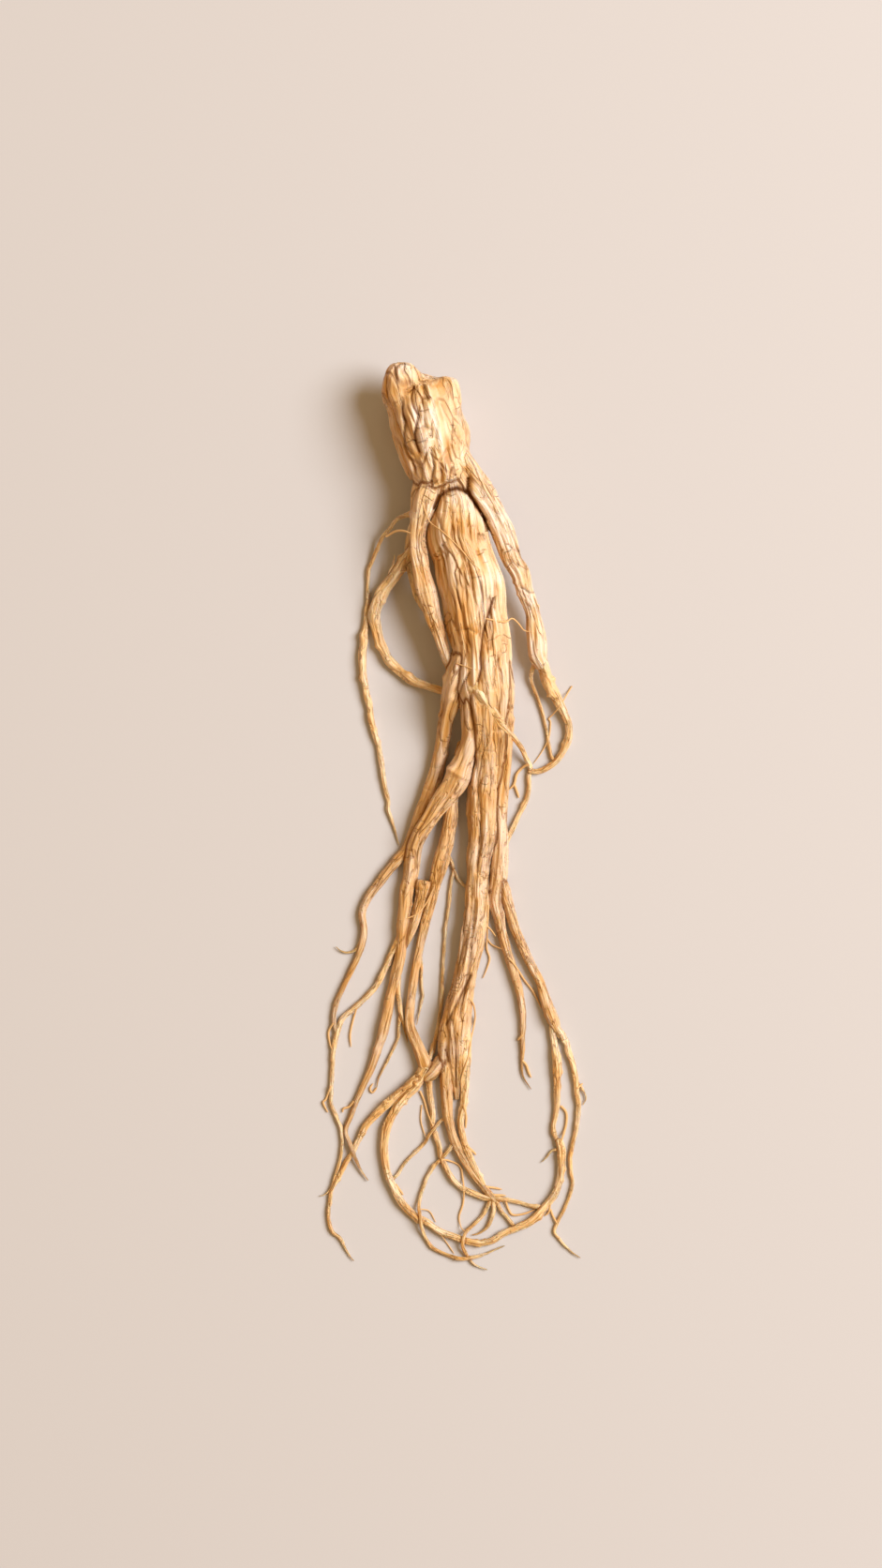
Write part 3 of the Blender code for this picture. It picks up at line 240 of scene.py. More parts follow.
CENTRE_TAIL_RIGHT = [
    (3.4, -67.0, 4.4, 2.1), (3.5, -73.0, 3.8, 2.2), (3.5, -79.0, 2.8, 2.0),
    (3.6, -85.5, 1.7, 1.5), (3.3, -91.8, 1.2, 1.25), (2.2, -96.9, 1.1, 1.15),
    (2.9, -102.0, 1.2, 1.1), (4.8, -107.4, 1.6, 1.05), (7.2, -112.6, 1.7, 1.0),
    (9.6, -117.4, 1.4, 0.9),
]
RIGHT_LEG = [
    (14.6, 50.0, 10.6, 3.8), (15.0, 44.8, 11.0, 4.3), (15.4, 39.0, 10.6, 4.1),
    (15.8, 33.0, 9.2, 3.6), (16.1, 26.4, 7.2, 3.0), (16.2, 20.0, 5.2, 2.6),
    (15.8, 13.5, 3.8, 2.4), (15.3, 7.2, 2.8, 2.3), (15.0, 0.3, 2.4, 2.4),
    (15.0, -7.8, 2.4, 2.5), (14.4, -18.3, 2.6, 2.8), (13.4, -25.8, 2.3, 2.4),
    (14.7, -31.8, 1.8, 1.9), (15.6, -36.3, 1.6, 1.7), (16.8, -40.8, 1.5, 1.6),
    (18.2, -45.3, 1.4, 1.45), (19.8, -50.4, 1.3, 1.4), (21.2, -55.5, 1.3, 1.35),
    (22.2, -61.8, 1.1, 1.2), (22.4, -65.1, 1.0, 1.0), (22.2, -69.9, 0.9, 0.9),
    (22.2, -74.1, 0.75, 0.75), (22.0, -78.6, 0.6, 0.6), (22.4, -82.5, 0.55, 0.5),
    (24.9, -86.7, 0.5, 0.45),
]
OUTER_LEG = [
    (14.8, -18.6, 2.5, 2.2), (16.4, -24.3, 2.1, 2.1), (18.3, -30.3, 1.8, 1.9),
    (19.8, -35.4, 1.6, 1.6), (21.6, -39.3, 1.6, 1.65), (23.7, -44.4, 1.5, 1.5),
    (25.8, -48.6, 1.4, 1.45), (27.9, -52.8, 1.4, 1.5), (29.7, -58.8, 1.7, 1.8),
    (31.8, -64.2, 1.8, 2.0), (33.2, -67.6, 1.4, 1.3),
]
OUTER_FORK_LEFT = [
    (31.4, -62.6, 1.7, 1.3), (31.8, -68.4, 1.1, 1.05), (32.6, -73.5, 1.2, 1.25),
    (33.3, -78.6, 1.4, 1.5), (33.3, -83.7, 1.2, 1.25), (33.3, -88.8, 1.05, 1.1),
    (33.0, -94.2, 0.9, 0.95), (32.1, -99.0, 0.8, 0.8), (33.2, -103.4, 1.0, 0.8),
]
OUTER_FORK_RIGHT = [
    (32.6, -65.8, 1.6, 1.4), (36.0, -71.4, 1.1, 1.1), (36.9, -74.7, 1.05, 1.05),
    (38.4, -79.2, 1.0, 1.0), (39.3, -83.7, 0.95, 0.95), (39.8, -88.8, 0.9, 0.9),
    (40.2, -92.4, 0.85, 0.85), (39.8, -97.5, 0.8, 0.8), (39.0, -101.7, 0.75, 0.75),
    (38.1, -105.3, 0.7, 0.7), (37.5, -108.9, 0.65, 0.65), (37.8, -113.1, 0.65, 0.65),
    (38.3, -117.3, 0.6, 0.6), (37.5, -120.6, 0.6, 0.6), (35.9, -124.8, 0.55, 0.55),
    (33.9, -128.7, 0.55, 0.55), (32.5, -132.2, 0.55, 0.55), (33.8, -134.6, 0.5, 0.5),
    (37.8, -138.9, 0.5, 0.5), (40.8, -141.0, 0.5, 0.45),
]
OUTER_TUFT = [
    (39.4, -84.0, 0.9, 0.6), (41.4, -86.6, 0.7, 0.55), (42.6, -89.6, 0.55, 0.5),
    (41.6, -91.8, 0.55, 0.5),
]
CURL_ROOTLET = [
    (4.4, 50.0, 13.2, 1.8), (5.8, 45.4, 15.4, 2.3), (8.0, 41.0, 16.6, 2.2),
    (10.8, 37.0, 16.2, 1.8), (13.2, 33.6, 14.8, 1.4), (15.3, 30.3, 12.8, 1.15),
    (17.1, 28.3, 10.4, 1.0), (19.4, 26.0, 7.2, 0.9), (21.6, 23.1, 4.2, 0.85),
    (23.4, 19.5, 1.9, 0.8), (24.6, 16.8, 1.0, 0.8), (24.3, 13.8, 0.8, 0.8),
    (24.2, 10.2, 0.8, 0.8), (23.4, 6.2, 0.8, 0.8), (21.2, 1.8, 0.8, 0.8),
    (19.2, -2.7, 1.2, 0.8), (16.6, -7.8, 2.0, 0.9),
]
LOOP_ROOT = [
    (-9.2, -79.8, 2.0, 2.2), (-10.5, -82.4, 2.0, 2.1), (-12.9, -85.8, 1.9, 1.8),
    (-15.6, -89.0, 1.6, 1.65), (-18.3, -92.4, 1.5, 1.5), (-20.4, -96.6, 1.4, 1.45),
    (-22.0, -101.1, 1.4, 1.4), (-22.2, -107.4, 1.3, 1.35), (-21.7, -111.9, 1.3, 1.3),
    (-20.4, -116.1, 1.3, 1.3), (-18.2, -120.6, 1.3, 1.3), (-15.3, -124.8, 1.3, 1.3),
    (-12.0, -127.8, 1.2, 1.25), (-8.7, -129.6, 1.2, 1.2), (-4.2, -132.6, 1.1, 1.15),
    (0.0, -134.1, 1.1, 1.1), (3.6, -135.3, 1.0, 1.05), (8.6, -136.2, 1.0, 1.05),
    (12.8, -135.3, 1.0, 1.1), (16.1, -133.2, 1.1, 1.15), (20.0, -131.4, 1.2, 1.2),
    (24.2, -129.6, 1.3, 1.35), (27.3, -126.8, 1.3, 1.3), (30.0, -123.6, 1.2, 1.25),
    (32.7, -120.0, 1.2, 1.2), (34.2, -115.8, 1.2, 1.2), (34.8, -110.7, 1.2, 1.25),
    (34.8, -106.8, 1.3, 1.4), (33.9, -103.2, 1.2, 1.2),
]
LOOP_TWIG = [
    (34.4, -106.0, 1.2, 0.8), (31.7, -106.5, 0.7, 0.6), (30.0, -108.6, 0.6, 0.6),
    (28.5, -110.1, 0.6, 0.5),
]
TAIL_ROOT = [
    (-10.4, -82.0, 2.2, 1.7), (-12.3, -84.0, 2.4, 1.6), (-15.6, -86.4, 2.2, 1.5),
    (-19.2, -89.4, 1.8, 1.45), (-21.9, -91.8, 1.5, 1.4), (-24.6, -94.5, 1.3, 1.3),
    (-27.3, -97.2, 1.2, 1.2), (-29.0, -100.0, 1.1, 1.1), (-30.8, -103.6, 1.0, 1.0),
    (-32.4, -106.8, 0.9, 0.95), (-34.8, -110.7, 0.85, 0.85), (-36.9, -114.9, 0.8, 0.8),
    (-39.0, -118.5, 0.75, 0.75), (-39.7, -122.1, 0.7, 0.7), (-40.2, -125.7, 0.65, 0.65),
    (-40.2, -129.0, 0.6, 0.6), (-39.0, -132.6, 0.6, 0.6), (-36.6, -134.6, 0.6, 0.6),
    (-35.1, -137.4, 0.55, 0.55), (-33.4, -140.4, 0.5, 0.5), (-32.1, -141.9, 0.5, 0.45),
]
INNER_ROOT = [
    (-8.2, -80.4, 2.0, 1.4), (-7.8, -85.5, 1.2, 1.1), (-7.5, -88.8, 1.0, 1.0),
    (-6.7, -94.2, 0.95, 0.95), (-6.9, -97.8, 0.9, 0.9), (-6.0, -101.1, 0.9, 0.9),
    (-4.8, -104.4, 0.9, 0.9), (-3.8, -109.2, 0.9, 0.95), (-1.2, -114.3, 0.95, 0.95),
    (1.2, -117.3, 0.95, 0.95), (4.5, -119.4, 0.95, 0.95), (9.9, -121.5, 1.0, 1.0),
    (13.5, -122.0, 1.0, 1.0), (16.8, -122.3, 0.8, 0.8), (20.0, -122.9, 0.7, 0.7),
    (23.4, -123.9, 0.65, 0.65), (27.0, -124.6, 0.9, 0.8), (29.0, -124.6, 1.1, 0.7),
]
INNER_CROSS_THREAD = [
    (-1.6, -95.6, 1.6, 0.7), (-3.8, -96.6, 1.2, 0.6), (-5.4, -98.4, 1.6, 0.55),
    (-7.5, -101.0, 1.4, 0.55), (-9.3, -104.1, 0.7, 0.55), (-12.3, -107.1, 0.55, 0.55),
    (-15.6, -110.4, 0.55, 0.55), (-17.8, -114.0, 0.7, 0.55), (-20.4, -116.4, 1.3, 0.6),
]
BOTTOM_THREAD = [
    (-0.2, -104.4, 1.4, 0.8), (-2.4, -107.4, 1.4, 0.7), (-6.0, -111.2, 0.8, 0.65),
    (-8.1, -114.3, 0.65, 0.65), (-9.6, -117.9, 0.65, 0.65), (-10.8, -121.8, 0.8, 0.6),
    (-11.1, -125.0, 1.8, 0.6), (-10.6, -128.2, 2.8, 0.6), (-10.2, -131.2, 1.8, 0.6),
    (-9.0, -134.4, 0.7, 0.6), (-7.2, -137.1, 0.6, 0.6), (-4.2, -139.2, 0.6, 0.6),
    (-0.9, -140.4, 0.6, 0.6), (2.4, -141.2, 1.0, 0.6), (6.9, -140.7, 0.8, 0.6),
    (10.8, -139.5, 0.6, 0.55), (13.5, -138.3, 0.6, 0.55), (16.4, -137.1, 0.6, 0.5),
]
LOWEST_THREAD = [
    (12.0, -121.6, 1.2, 0.8), (10.8, -124.8, 0.9, 0.7), (9.0, -127.8, 0.7, 0.6),
    (6.0, -130.7, 0.9, 0.6), (3.8, -132.9, 1.8, 0.6), (3.0, -135.4, 2.4, 0.6),
    (3.2, -138.0, 1.5, 0.6), (4.7, -140.6, 0.8, 0.6), (6.9, -143.2, 0.6, 0.55),
    (10.8, -144.8, 0.6, 0.5),
]
LOWER_CURL = [
    (12.6, -121.8, 1.0, 0.9), (12.9, -125.1, 0.8, 0.8), (12.2, -128.4, 0.75, 0.75),
    (10.8, -131.1, 0.75, 0.75), (8.4, -133.0, 0.7, 0.65), (6.2, -133.6, 0.6, 0.55),
]
LOWER_LINK = [
    (13.6, -122.0, 1.0, 0.8), (15.0, -125.4, 0.7, 0.65), (17.1, -127.8, 0.7, 0.6),
    (19.8, -131.2, 1.1, 0.7),
]

BODY_ROUTES = {
    "trunk": TRUNK, "shoulders": SHOULDERS, "left_lobe": LEFT_LOBE, "right_lobe": RIGHT_LOBE,
    "left_arm": LEFT_ARM, "right_arm": RIGHT_ARM, "centre_leg": CENTRE_LEG,
    "right_leg": RIGHT_LEG, "left_leg": LEFT_LEG, "crossing_leg": CROSSING_LEG,
    "middle_leg": MIDDLE_LEG, "node_bridge": NODE_BRIDGE, "outer_leg": OUTER_LEG,
    "cut_stub": CUT_STUB, "centre_tail_left": CENTRE_TAIL_LEFT,
}
ROOTLET_ROUTES = {
    "back_strand": BACK_STRAND, "hook_root": HOOK_ROOT, "right_arm_loop": RIGHT_ARM_LOOP,
    "centre_tail_right": CENTRE_TAIL_RIGHT, "outer_fork_left": OUTER_FORK_LEFT,
    "loop_root": LOOP_ROOT, "tail_root": TAIL_ROOT, "inner_root": INNER_ROOT,
    "long_rootlet": LONG_ROOTLET, "right_arm_thread": RIGHT_ARM_THREAD,
    "hook_spur": HOOK_SPUR, "left_leg_twig": LEFT_LEG_TWIG, "leg_fork": LEG_FORK,
    "leg_fork_thread": LEG_FORK_THREAD, "side_rootlet": SIDE_ROOTLET,
    "middle_twig": MIDDLE_TWIG, "cross_rootlet": CROSS_ROOTLET, "cross_link": CROSS_LINK,
    "outer_fork_right": OUTER_FORK_RIGHT, "outer_tuft": OUTER_TUFT,
    "curl_rootlet": CURL_ROOTLET, "loop_twig": LOOP_TWIG,
    "inner_cross_thread": INNER_CROSS_THREAD, "bottom_thread": BOTTOM_THREAD,
    "lowest_thread": LOWEST_THREAD, "lower_curl": LOWER_CURL, "lower_link": LOWER_LINK,
}

# Hairs too thin for the solid: each one's radius in mm, then its x, y points.
HAIRS = [
    (0.22, [(-10.0, 100.8), (-7.8, 95.1), (-3.6, 91.5), (1.8, 86.4), (5.1, 82.4), (8.4, 79.2)]),
    (0.26, [(10.2, 63.9), (16.2, 63.0), (18.6, 64.2), (20.7, 62.7), (22.5, 60.6), (25.0, 60.0)]),
    (0.24, [(38.1, 42.9), (34.2, 36.6), (31.8, 33.6), (30.6, 32.4), (31.2, 31.2), (30.6, 26.1),
            (28.5, 21.9), (25.8, 18.0)]),
    (0.2, [(0.9, 49.8), (4.0, 48.6), (8.1, 47.4)]),
    (0.22, [(-6.6, -22.5), (-9.3, -27.6), (-11.7, -30.2), (-14.4, -31.5), (-17.5, -32.1)]),
    (0.2, [(-10.2, -91.8), (-10.5, -96.9), (-9.0, -102.0), (-8.2, -103.0)]),
    (0.3, [(11.1, -27.3), (10.8, -36.3), (10.7, -41.4), (11.6, -44.7), (10.7, -48.0),
           (9.5, -51.0)]),
    (0.25, [(10.6, -34.0), (12.0, -35.4), (13.5, -37.5)]),
    (0.25, [(10.8, -38.2), (12.3, -40.2), (15.0, -41.4), (16.0, -41.3)]),
    (0.3, [(4.8, -57.0), (6.4, -59.4), (6.9, -64.2), (5.7, -69.9), (4.7, -75.9),
           (3.3, -80.4), (2.4, -83.7), (2.6, -87.3)]),
    (0.4, [(3.3, -91.8), (4.0, -95.6), (3.9, -99.3)]),
    (0.4, [(4.2, -104.7), (6.6, -107.1), (7.2, -107.9)]),
    (0.3, [(-3.9, -109.2), (-1.2, -109.8), (2.1, -111.6), (3.0, -115.8), (3.3, -120.0),
           (3.0, -123.9), (1.8, -127.8), (2.4, -131.1), (3.6, -132.3)]),
    (0.35, [(16.8, -122.9), (17.7, -125.4), (19.2, -127.2), (22.8, -126.8), (26.4, -125.4)]),
    (0.35, [(10.2, -117.9), (13.2, -118.5), (15.6, -119.0)]),
    (0.35, [(12.9, -120.6), (16.8, -121.0)]),
    (0.18, [(-10.8, -125.1), (-7.8, -126.0), (-5.7, -129.6)]),
    (0.18, [(-4.2, -133.2), (0.3, -139.8)]),
    (0.3, [(-31.2, -60.6), (-32.4, -64.8), (-33.3, -69.3), (-33.0, -73.2)]),
    (0.35, [(-39.5, -85.8), (-41.1, -90.0), (-42.0, -91.0), (-40.5, -94.2)]),
    (0.35, [(-38.7, -65.4), (-40.2, -68.4), (-39.8, -72.0), (-39.0, -74.1)]),
    (0.4, [(-32.1, -90.6), (-33.6, -92.4), (-35.4, -93.0), (-35.7, -94.2)]),
    (0.4, [(-21.6, 90.6), (-18.6, 92.1), (-16.0, 92.1), (-13.6, 91.2)]),
    (0.3, [(-24.8, -86.4), (-26.1, -87.9), (-26.9, -86.6), (-25.9, -84.9)]),
    (0.4, [(22.0, -77.4), (23.4, -79.0), (24.2, -81.4), (25.0, -83.0)]),
    (0.4, [(22.1, -69.2), (20.7, -71.0)]),
    (0.35, [(17.7, -44.4), (19.5, -46.5), (22.8, -51.6), (25.7, -55.5), (28.2, -60.6)]),
    (0.4, [(34.5, -92.1), (36.2, -94.2), (36.3, -97.5), (35.4, -101.1), (34.2, -104.4)]),
    (0.35, [(39.8, -86.4), (41.5, -84.9)]),
    (0.35, [(31.0, -123.6), (30.6, -126.3), (29.4, -127.5)]),
    (0.35, [(31.2, -125.4), (32.0, -127.6), (33.3, -130.0)]),
    (0.4, [(19.5, 11.4), (20.7, 8.1), (21.0, 6.9)]),
    (0.45, [(24.3, 17.8), (22.6, 17.0), (20.4, 14.7), (19.5, 11.4), (17.9, 9.6)]),
    (0.35, [(-10.8, -87.3), (-9.4, -90.6), (-8.4, -94.2), (-6.6, -98.7)]),
    (0.35, [(-18.6, -117.2), (-16.2, -120.8)]),
]

# The skin's pattern: seeds and line widths in the grain's own units, and depths in mm on a
# branch FULL_GIRTH in radius, less on thinner ones.
MAIN_SEED = 3.0
FINE_SEED = 11.0
WRINKLE_SEED = 17.0
RING_SEED = 23.0
LUMP_SEED = 41.0
SWELL_SEED = 47.0
PLATE_SEED = 53.0
MASK_SEED = 61.0
MAIN_STRETCH = (1.0, 1.0, 0.17)
MAIN_WIDTH = 0.03
VALLEY_WIDTH = 0.15
RING_WIDTH = 0.028
PLATE_EDGE = 0.06
RELIEF = {
    "Main depth": 0.55, "Valley depth": 0.3, "Fine depth": 0.15, "Ring depth": 0.35,
    "Plate depth": 0.5, "Lump depth": 0.7, "Swell depth": 0.5, "Wrinkle depth": 0.38,
    "Sink": 0.72,
}
FULL_GIRTH = 10.0
GIRTH_POWER = 0.8

# How a branch becomes tubes. A new tube starts where the branch has thinned to a share of the
# last one's start, reaches back into it and is a little thinner there, in mm and shares.
CURVE_STEPS = 16
STRETCH_OVERLAP = 1.6
THINNED = 0.6
INNER_START = (0.8, 0.96)
TIP_END = 0.3
CAP_RINGS = (0.35, 0.65, 0.87, 0.97)
ROUND_END = 0.7
POLE_REACH = 0.1
FEWEST_SIDES = 10
SEED_SHIFT = 3.7
BODY_SEED = 1
ROOTLET_SEED = 41

# The mean height of a rope's strands, and a nodule's room at a tube's ends, length and turn.
MEAN_ROPE = 0.64
KNOT_MARGIN = 2.0
KNOT_LENGTH = (0.5, 1.2)
KNOT_TURN = 0.8

# Seams: metres within which a point is unmoved by the union, the neighbours that say which
# branches meet, and how much each round of easing moves a point.
SAME_POINT = 1e-6
SEAM_NEIGHBOURS = 8
EASE_STEP = 0.7

# Hairs: sides, step and drop for each step in mm, the points that a height is averaged over,
# the tip's share of the girth, and the height in metres that the rays start at.
HAIR_SIDES = 6
HAIR_STEP = 0.5
HAIR_FALL = 0.45
HAIR_EASE = 7
HAIR_TIP = 0.45
RAY_START = 0.06

# The height in mm at which the photograph's scale is true.
TRUE_SCALE_HEIGHT = 8.0

# Branches that grew as one, so that no crease parts them.
GROWN_AS_ONE = {"left_lobe": "shoulders", "right_lobe": "shoulders", "right_arm": "shoulders",
                "centre_leg": "trunk", "centre_tail_left": "trunk"}
# The branches that make the crown.
CROWN = ("shoulders", "left_lobe", "right_lobe")
# The crown's own axes, as columns: across it, up and along it, so that all of its branches
# share one pattern.
CROWN_FRAME = np.array([[0.973, 0.0, -0.23], [0.23, 0.0, 0.973], [0.0, 1.0, 0.0]])
# Where the crown begins, over what length it does, and how much wider its seams are eased.
CROWN_FOOT = 106.0
CROWN_BLEND = 5.0
CROWN_REACH = 1.6
# How far in mm a joint blanks the pattern.
JOINT_REACH = 0.55
# The crown lies a little flatter here, so that its relief stays inside the solid's box.
CROWN_PRESS = 0.955
# How often the seams are eased in the crown and elsewhere.
CROWN_ROUNDS = 36
SEAM_ROUNDS = 4

# Branches whose far end lies free and runs out to a thin tip.
OPEN_ENDS = {
    "crossing_leg", "right_leg", "leg_fork", "leg_fork_thread", "left_leg_twig", "side_rootlet",
    "outer_fork_right", "outer_tuft", "loop_twig", "tail_root", "bottom_thread",
    "lowest_thread", "lower_curl", "long_rootlet", "hook_spur", "middle_twig",
}

# Creases on the upper side: the x, y points that each one follows, its depth and half-width.
# A depth below zero raises a swelling instead. Each crease gets painted shade as dark as it is
# deep, narrower than the crease itself, and only on its upper side.
CREASE_SHADE = 0.7
SHADE_POWER = 1.6
UPPER_SIDE = 0.1
SHOULDER_CREASES = [
    ([(-12.6, 137.9), (-13.5, 133.7), (-12.8, 131.0), (-11.2, 128.2), (-11.7, 125.5),
      (-12.4, 122.7), (-11.9, 119.5), (-10.8, 116.8)], 1.3, 0.6),
    ([(-16.1, 133.7), (-16.3, 129.6), (-15.1, 126.4), (-15.8, 122.7), (-15.4, 119.1),
      (-13.5, 116.3)], 1.0, 0.6),
    ([(-12.2, 122.6), (-11.7, 123.7), (-9.6, 124.8), (-7.1, 123.7), (-7.3, 121.8)], 0.8, 0.45),
    ([(-12.2, 120.9), (-11.5, 119.5), (-9.2, 120.0), (-7.3, 121.8)], 0.8, 0.45),
    ([(-9.6, 138.6), (-9.2, 136.4), (-8.2, 133.6)], 0.9, 1.0),
    ([(-3.9, 131.9), (-3.0, 129.6), (-1.4, 126.9), (0.5, 122.3), (2.6, 119.5)], 0.7, 0.5),
    ([(-7.1, 117.3), (-7.1, 116.3), (-6.2, 112.2), (-6.9, 108.5), (-7.3, 105.8)], 1.1, 0.5),
    ([(-0.4, 113.1), (-1.1, 109.9), (-1.4, 107.1)], 1.0, 0.5),
    ([(-4.0, 113.0), (-3.7, 109.9), (-4.1, 107.1)], 0.8, 0.5),
    ([(1.4, 113.6), (3.2, 111.7), (5.1, 110.8)], 0.8, 0.5),
    ([(-6.0, 133.0), (-6.6, 129.0), (-5.2, 126.0), (-5.8, 121.0)], 0.6, 0.5),
    ([(-9.4, 121.9), (-9.2, 121.7)], -1.1, 1.9),
    ([(-8.6, 136.0), (-8.4, 131.0), (-7.6, 127.0)], -0.4, 1.3),
    ([(-14.0, 131.0), (-13.8, 124.0)], -0.9, 1.1),
    ([(-9.6, 115.6), (-9.2, 108.4)], -0.7, 1.2),
    ([(-5.2, 114.4), (-5.4, 108.2)], -0.7, 0.9),
    ([(-2.4, 113.4), (-2.5, 108.2)], -0.6, 0.8),
]
ARCH_CREASES = [
    ([(-6.2, 99.3), (-4.6, 103.0), (-1.8, 104.8), (0.9, 105.5), (4.2, 104.4)], 3.0, 0.9),
    ([(4.6, 108.5), (4.4, 105.3), (5.5, 102.5), (7.8, 99.3), (10.1, 95.6)], 2.6, 0.8),
]
RIGHT_ARM_CREASES = [
    ([(12.6, 98.4), (14.6, 97.2), (17.0, 98.6)], 0.5, 0.4),
    ([(17.6, 87.2), (20.0, 85.6), (22.4, 86.6)], 0.6, 0.4),
    ([(20.5, 81.5), (23.4, 79.8), (25.6, 80.6)], 0.8, 0.4),
    ([(21.6, 74.2), (24.4, 72.4), (26.8, 73.2)], 0.9, 0.45),
    ([(14.6, 99.4), (17.2, 94.4), (19.6, 88.4), (22.6, 81.4)], 0.7, 0.45),
]
ARM_CREASES = [
    ([(-13.5, 103.0), (-12.4, 104.8), (-10.5, 105.8), (-7.3, 105.7), (-4.6, 105.3)], 0.9, 0.45),
    ([(-12.8, 80.4), (-10.4, 81.2), (-7.6, 80.8)], 0.5, 0.4),
    ([(-11.6, 71.6), (-8.4, 72.3), (-5.6, 72.6)], 0.5, 0.4),
    ([(-8.8, 101.5), (-9.4, 97.6), (-10.4, 93.5)], 0.7, 0.5),
]
TRUNK_CREASES = [
    ([(-3.6, 98.0), (-0.4, 97.7), (3.5, 98.2)], 0.5, 0.4),
    ([(-0.4, 97.5), (-0.9, 92.5), (-1.1, 90.2)], 0.5, 0.45),
    ([(4.2, 96.1), (4.0, 93.8), (4.9, 91.5)], 0.5, 0.4),
    ([(-5.0, 101.2), (-5.5, 97.1), (-3.8, 92.5), (-2.2, 88.8), (-4.1, 86.5), (-6.1, 84.2)],
     0.7, 0.45),
    ([(2.3, 83.7), (2.6, 81.0), (1.0, 78.2), (1.4, 70.9), (2.3, 67.2)], 0.5, 0.45),
    ([(4.9, 76.8), (8.5, 77.3)], 0.7, 0.45),
    ([(4.6, 78.2), (8.8, 79.2)], 0.4, 0.4),
    ([(8.5, 75.9), (9.0, 70.9), (8.5, 66.8), (7.4, 64.0)], 0.7, 0.5),
    ([(12.5, 70.4), (11.5, 67.2), (10.4, 63.5), (9.2, 58.9), (8.8, 55.2), (8.4, 51.3),
      (8.7, 48.0), (7.8, 44.4), (6.6, 41.8)], 1.3, 0.6),
    ([(-3.2, 80.0), (-1.8, 75.5), (-2.2, 70.9)], 0.5, 0.45),
    ([(0.5, 60.3), (4.7, 60.8), (6.9, 59.4)], 0.6, 0.4),
    ([(5.1, 46.8), (3.0, 43.5), (1.0, 37.5)], 1.0, 0.5),
    ([(12.6, 50.0), (12.9, 46.0), (12.4, 41.6)], 0.7, 0.5),
]
STUB_CREASES = [([(-12.8, -22.2), (-10.0, -22.8), (-7.2, -22.2)], 0.5, 0.35)]
LEFT_LEG_CREASES = TRUNK_CREASES + [
    ([(-8.0, 17.4), (-5.2, 16.6), (-2.4, 17.6)], 0.5, 0.4),
    ([(-9.4, 10.2), (-7.2, 9.4), (-4.6, 10.4)], 0.4, 0.35),
]
LEG_CREASES = [
    ([(6.6, 21.0), (9.6, 22.2), (13.0, 21.9)], 0.6, 0.45),
    ([(7.2, 19.2), (7.8, 10.2), (8.7, 1.2), (8.4, -7.8), (7.5, -16.8)], 0.7, 0.5),
    ([(10.8, 20.7), (12.0, 13.2), (11.1, 1.2), (11.7, -9.3), (10.8, -22.8)], 0.6, 0.45),
    ([(6.9, -25.8), (5.7, -40.8), (3.9, -52.8), (1.8, -63.3)], 0.8, 0.5),
    ([(4.2, -24.3), (3.3, -37.8), (1.2, -49.8)], 0.6, 0.45),
    ([(5.4, -50.1), (3.0, -55.0), (0.0, -61.0), (-2.4, -65.7)], 1.2, 0.6),
    ([(-0.4, -64.0), (0.6, -72.0), (0.7, -78.0), (0.6, -86.0)], 1.0, 0.5),
]
CREASED = {
    "centre_leg": LEG_CREASES, "centre_tail_left": LEG_CREASES,
    "centre_tail_right": LEG_CREASES,
    "shoulders": SHOULDER_CREASES + ARCH_CREASES, "left_lobe": SHOULDER_CREASES,
    "right_lobe": SHOULDER_CREASES, "trunk": TRUNK_CREASES + ARCH_CREASES,
    "left_arm": ARM_CREASES + ARCH_CREASES, "right_arm": RIGHT_ARM_CREASES + ARCH_CREASES,
    "left_leg": LEFT_LEG_CREASES, "right_leg": TRUNK_CREASES, "cut_stub": STUB_CREASES,
}


def smooth_route(points, step):
    """Points of a Catmull-Rom curve through a route, all one even step apart."""
    knots = np.array(points, dtype=float)
    knots = np.vstack([2 * knots[0] - knots[1], knots, 2 * knots[-1] - knots[-2]])
    share = np.linspace(0.0, 1.0, CURVE_STEPS, endpoint=False)[:, None]
    curve = []
    for before, start, end, after in zip(knots, knots[1:], knots[2:], knots[3:]):
        curve.append(0.5 * (
            2 * start + (end - before) * share
            + (2 * before - 5 * start + 4 * end - after) * share ** 2
            + (3 * start - before - 3 * end + after) * share ** 3))
    curve = np.vstack(curve + [knots[-2][None, :]])
    gaps = np.linalg.norm(np.diff(curve[:, :3], axis=0), axis=1)
    lengths = np.concatenate([[0.0], np.cumsum(gaps)])
    count = max(3, int(round(lengths[-1] / step)) + 1)
    wanted = np.linspace(0.0, lengths[-1], count)
    return np.stack([np.interp(wanted, lengths, curve[:, k]) for k in range(curve.shape[1])], 1)


def rounded(samples, bluntness):
    """The samples of a tube with a rounded cap's rings added at both ends."""
    rings = []
    for end, inner in ((0, 1), (-1, -2)):
        outward = samples[end, :3] - samples[inner, :3]
        outward /= np.linalg.norm(outward)
        radius = samples[end, 3]
        cap = []
        for share in CAP_RINGS:
            centre = samples[end, :3] + outward * radius * share * bluntness
            cap.append([*centre, radius * math.sqrt(1.0 - share ** 2)])
        rings.append(np.array(cap))
    return np.vstack([rings[0][::-1], samples, rings[1]])


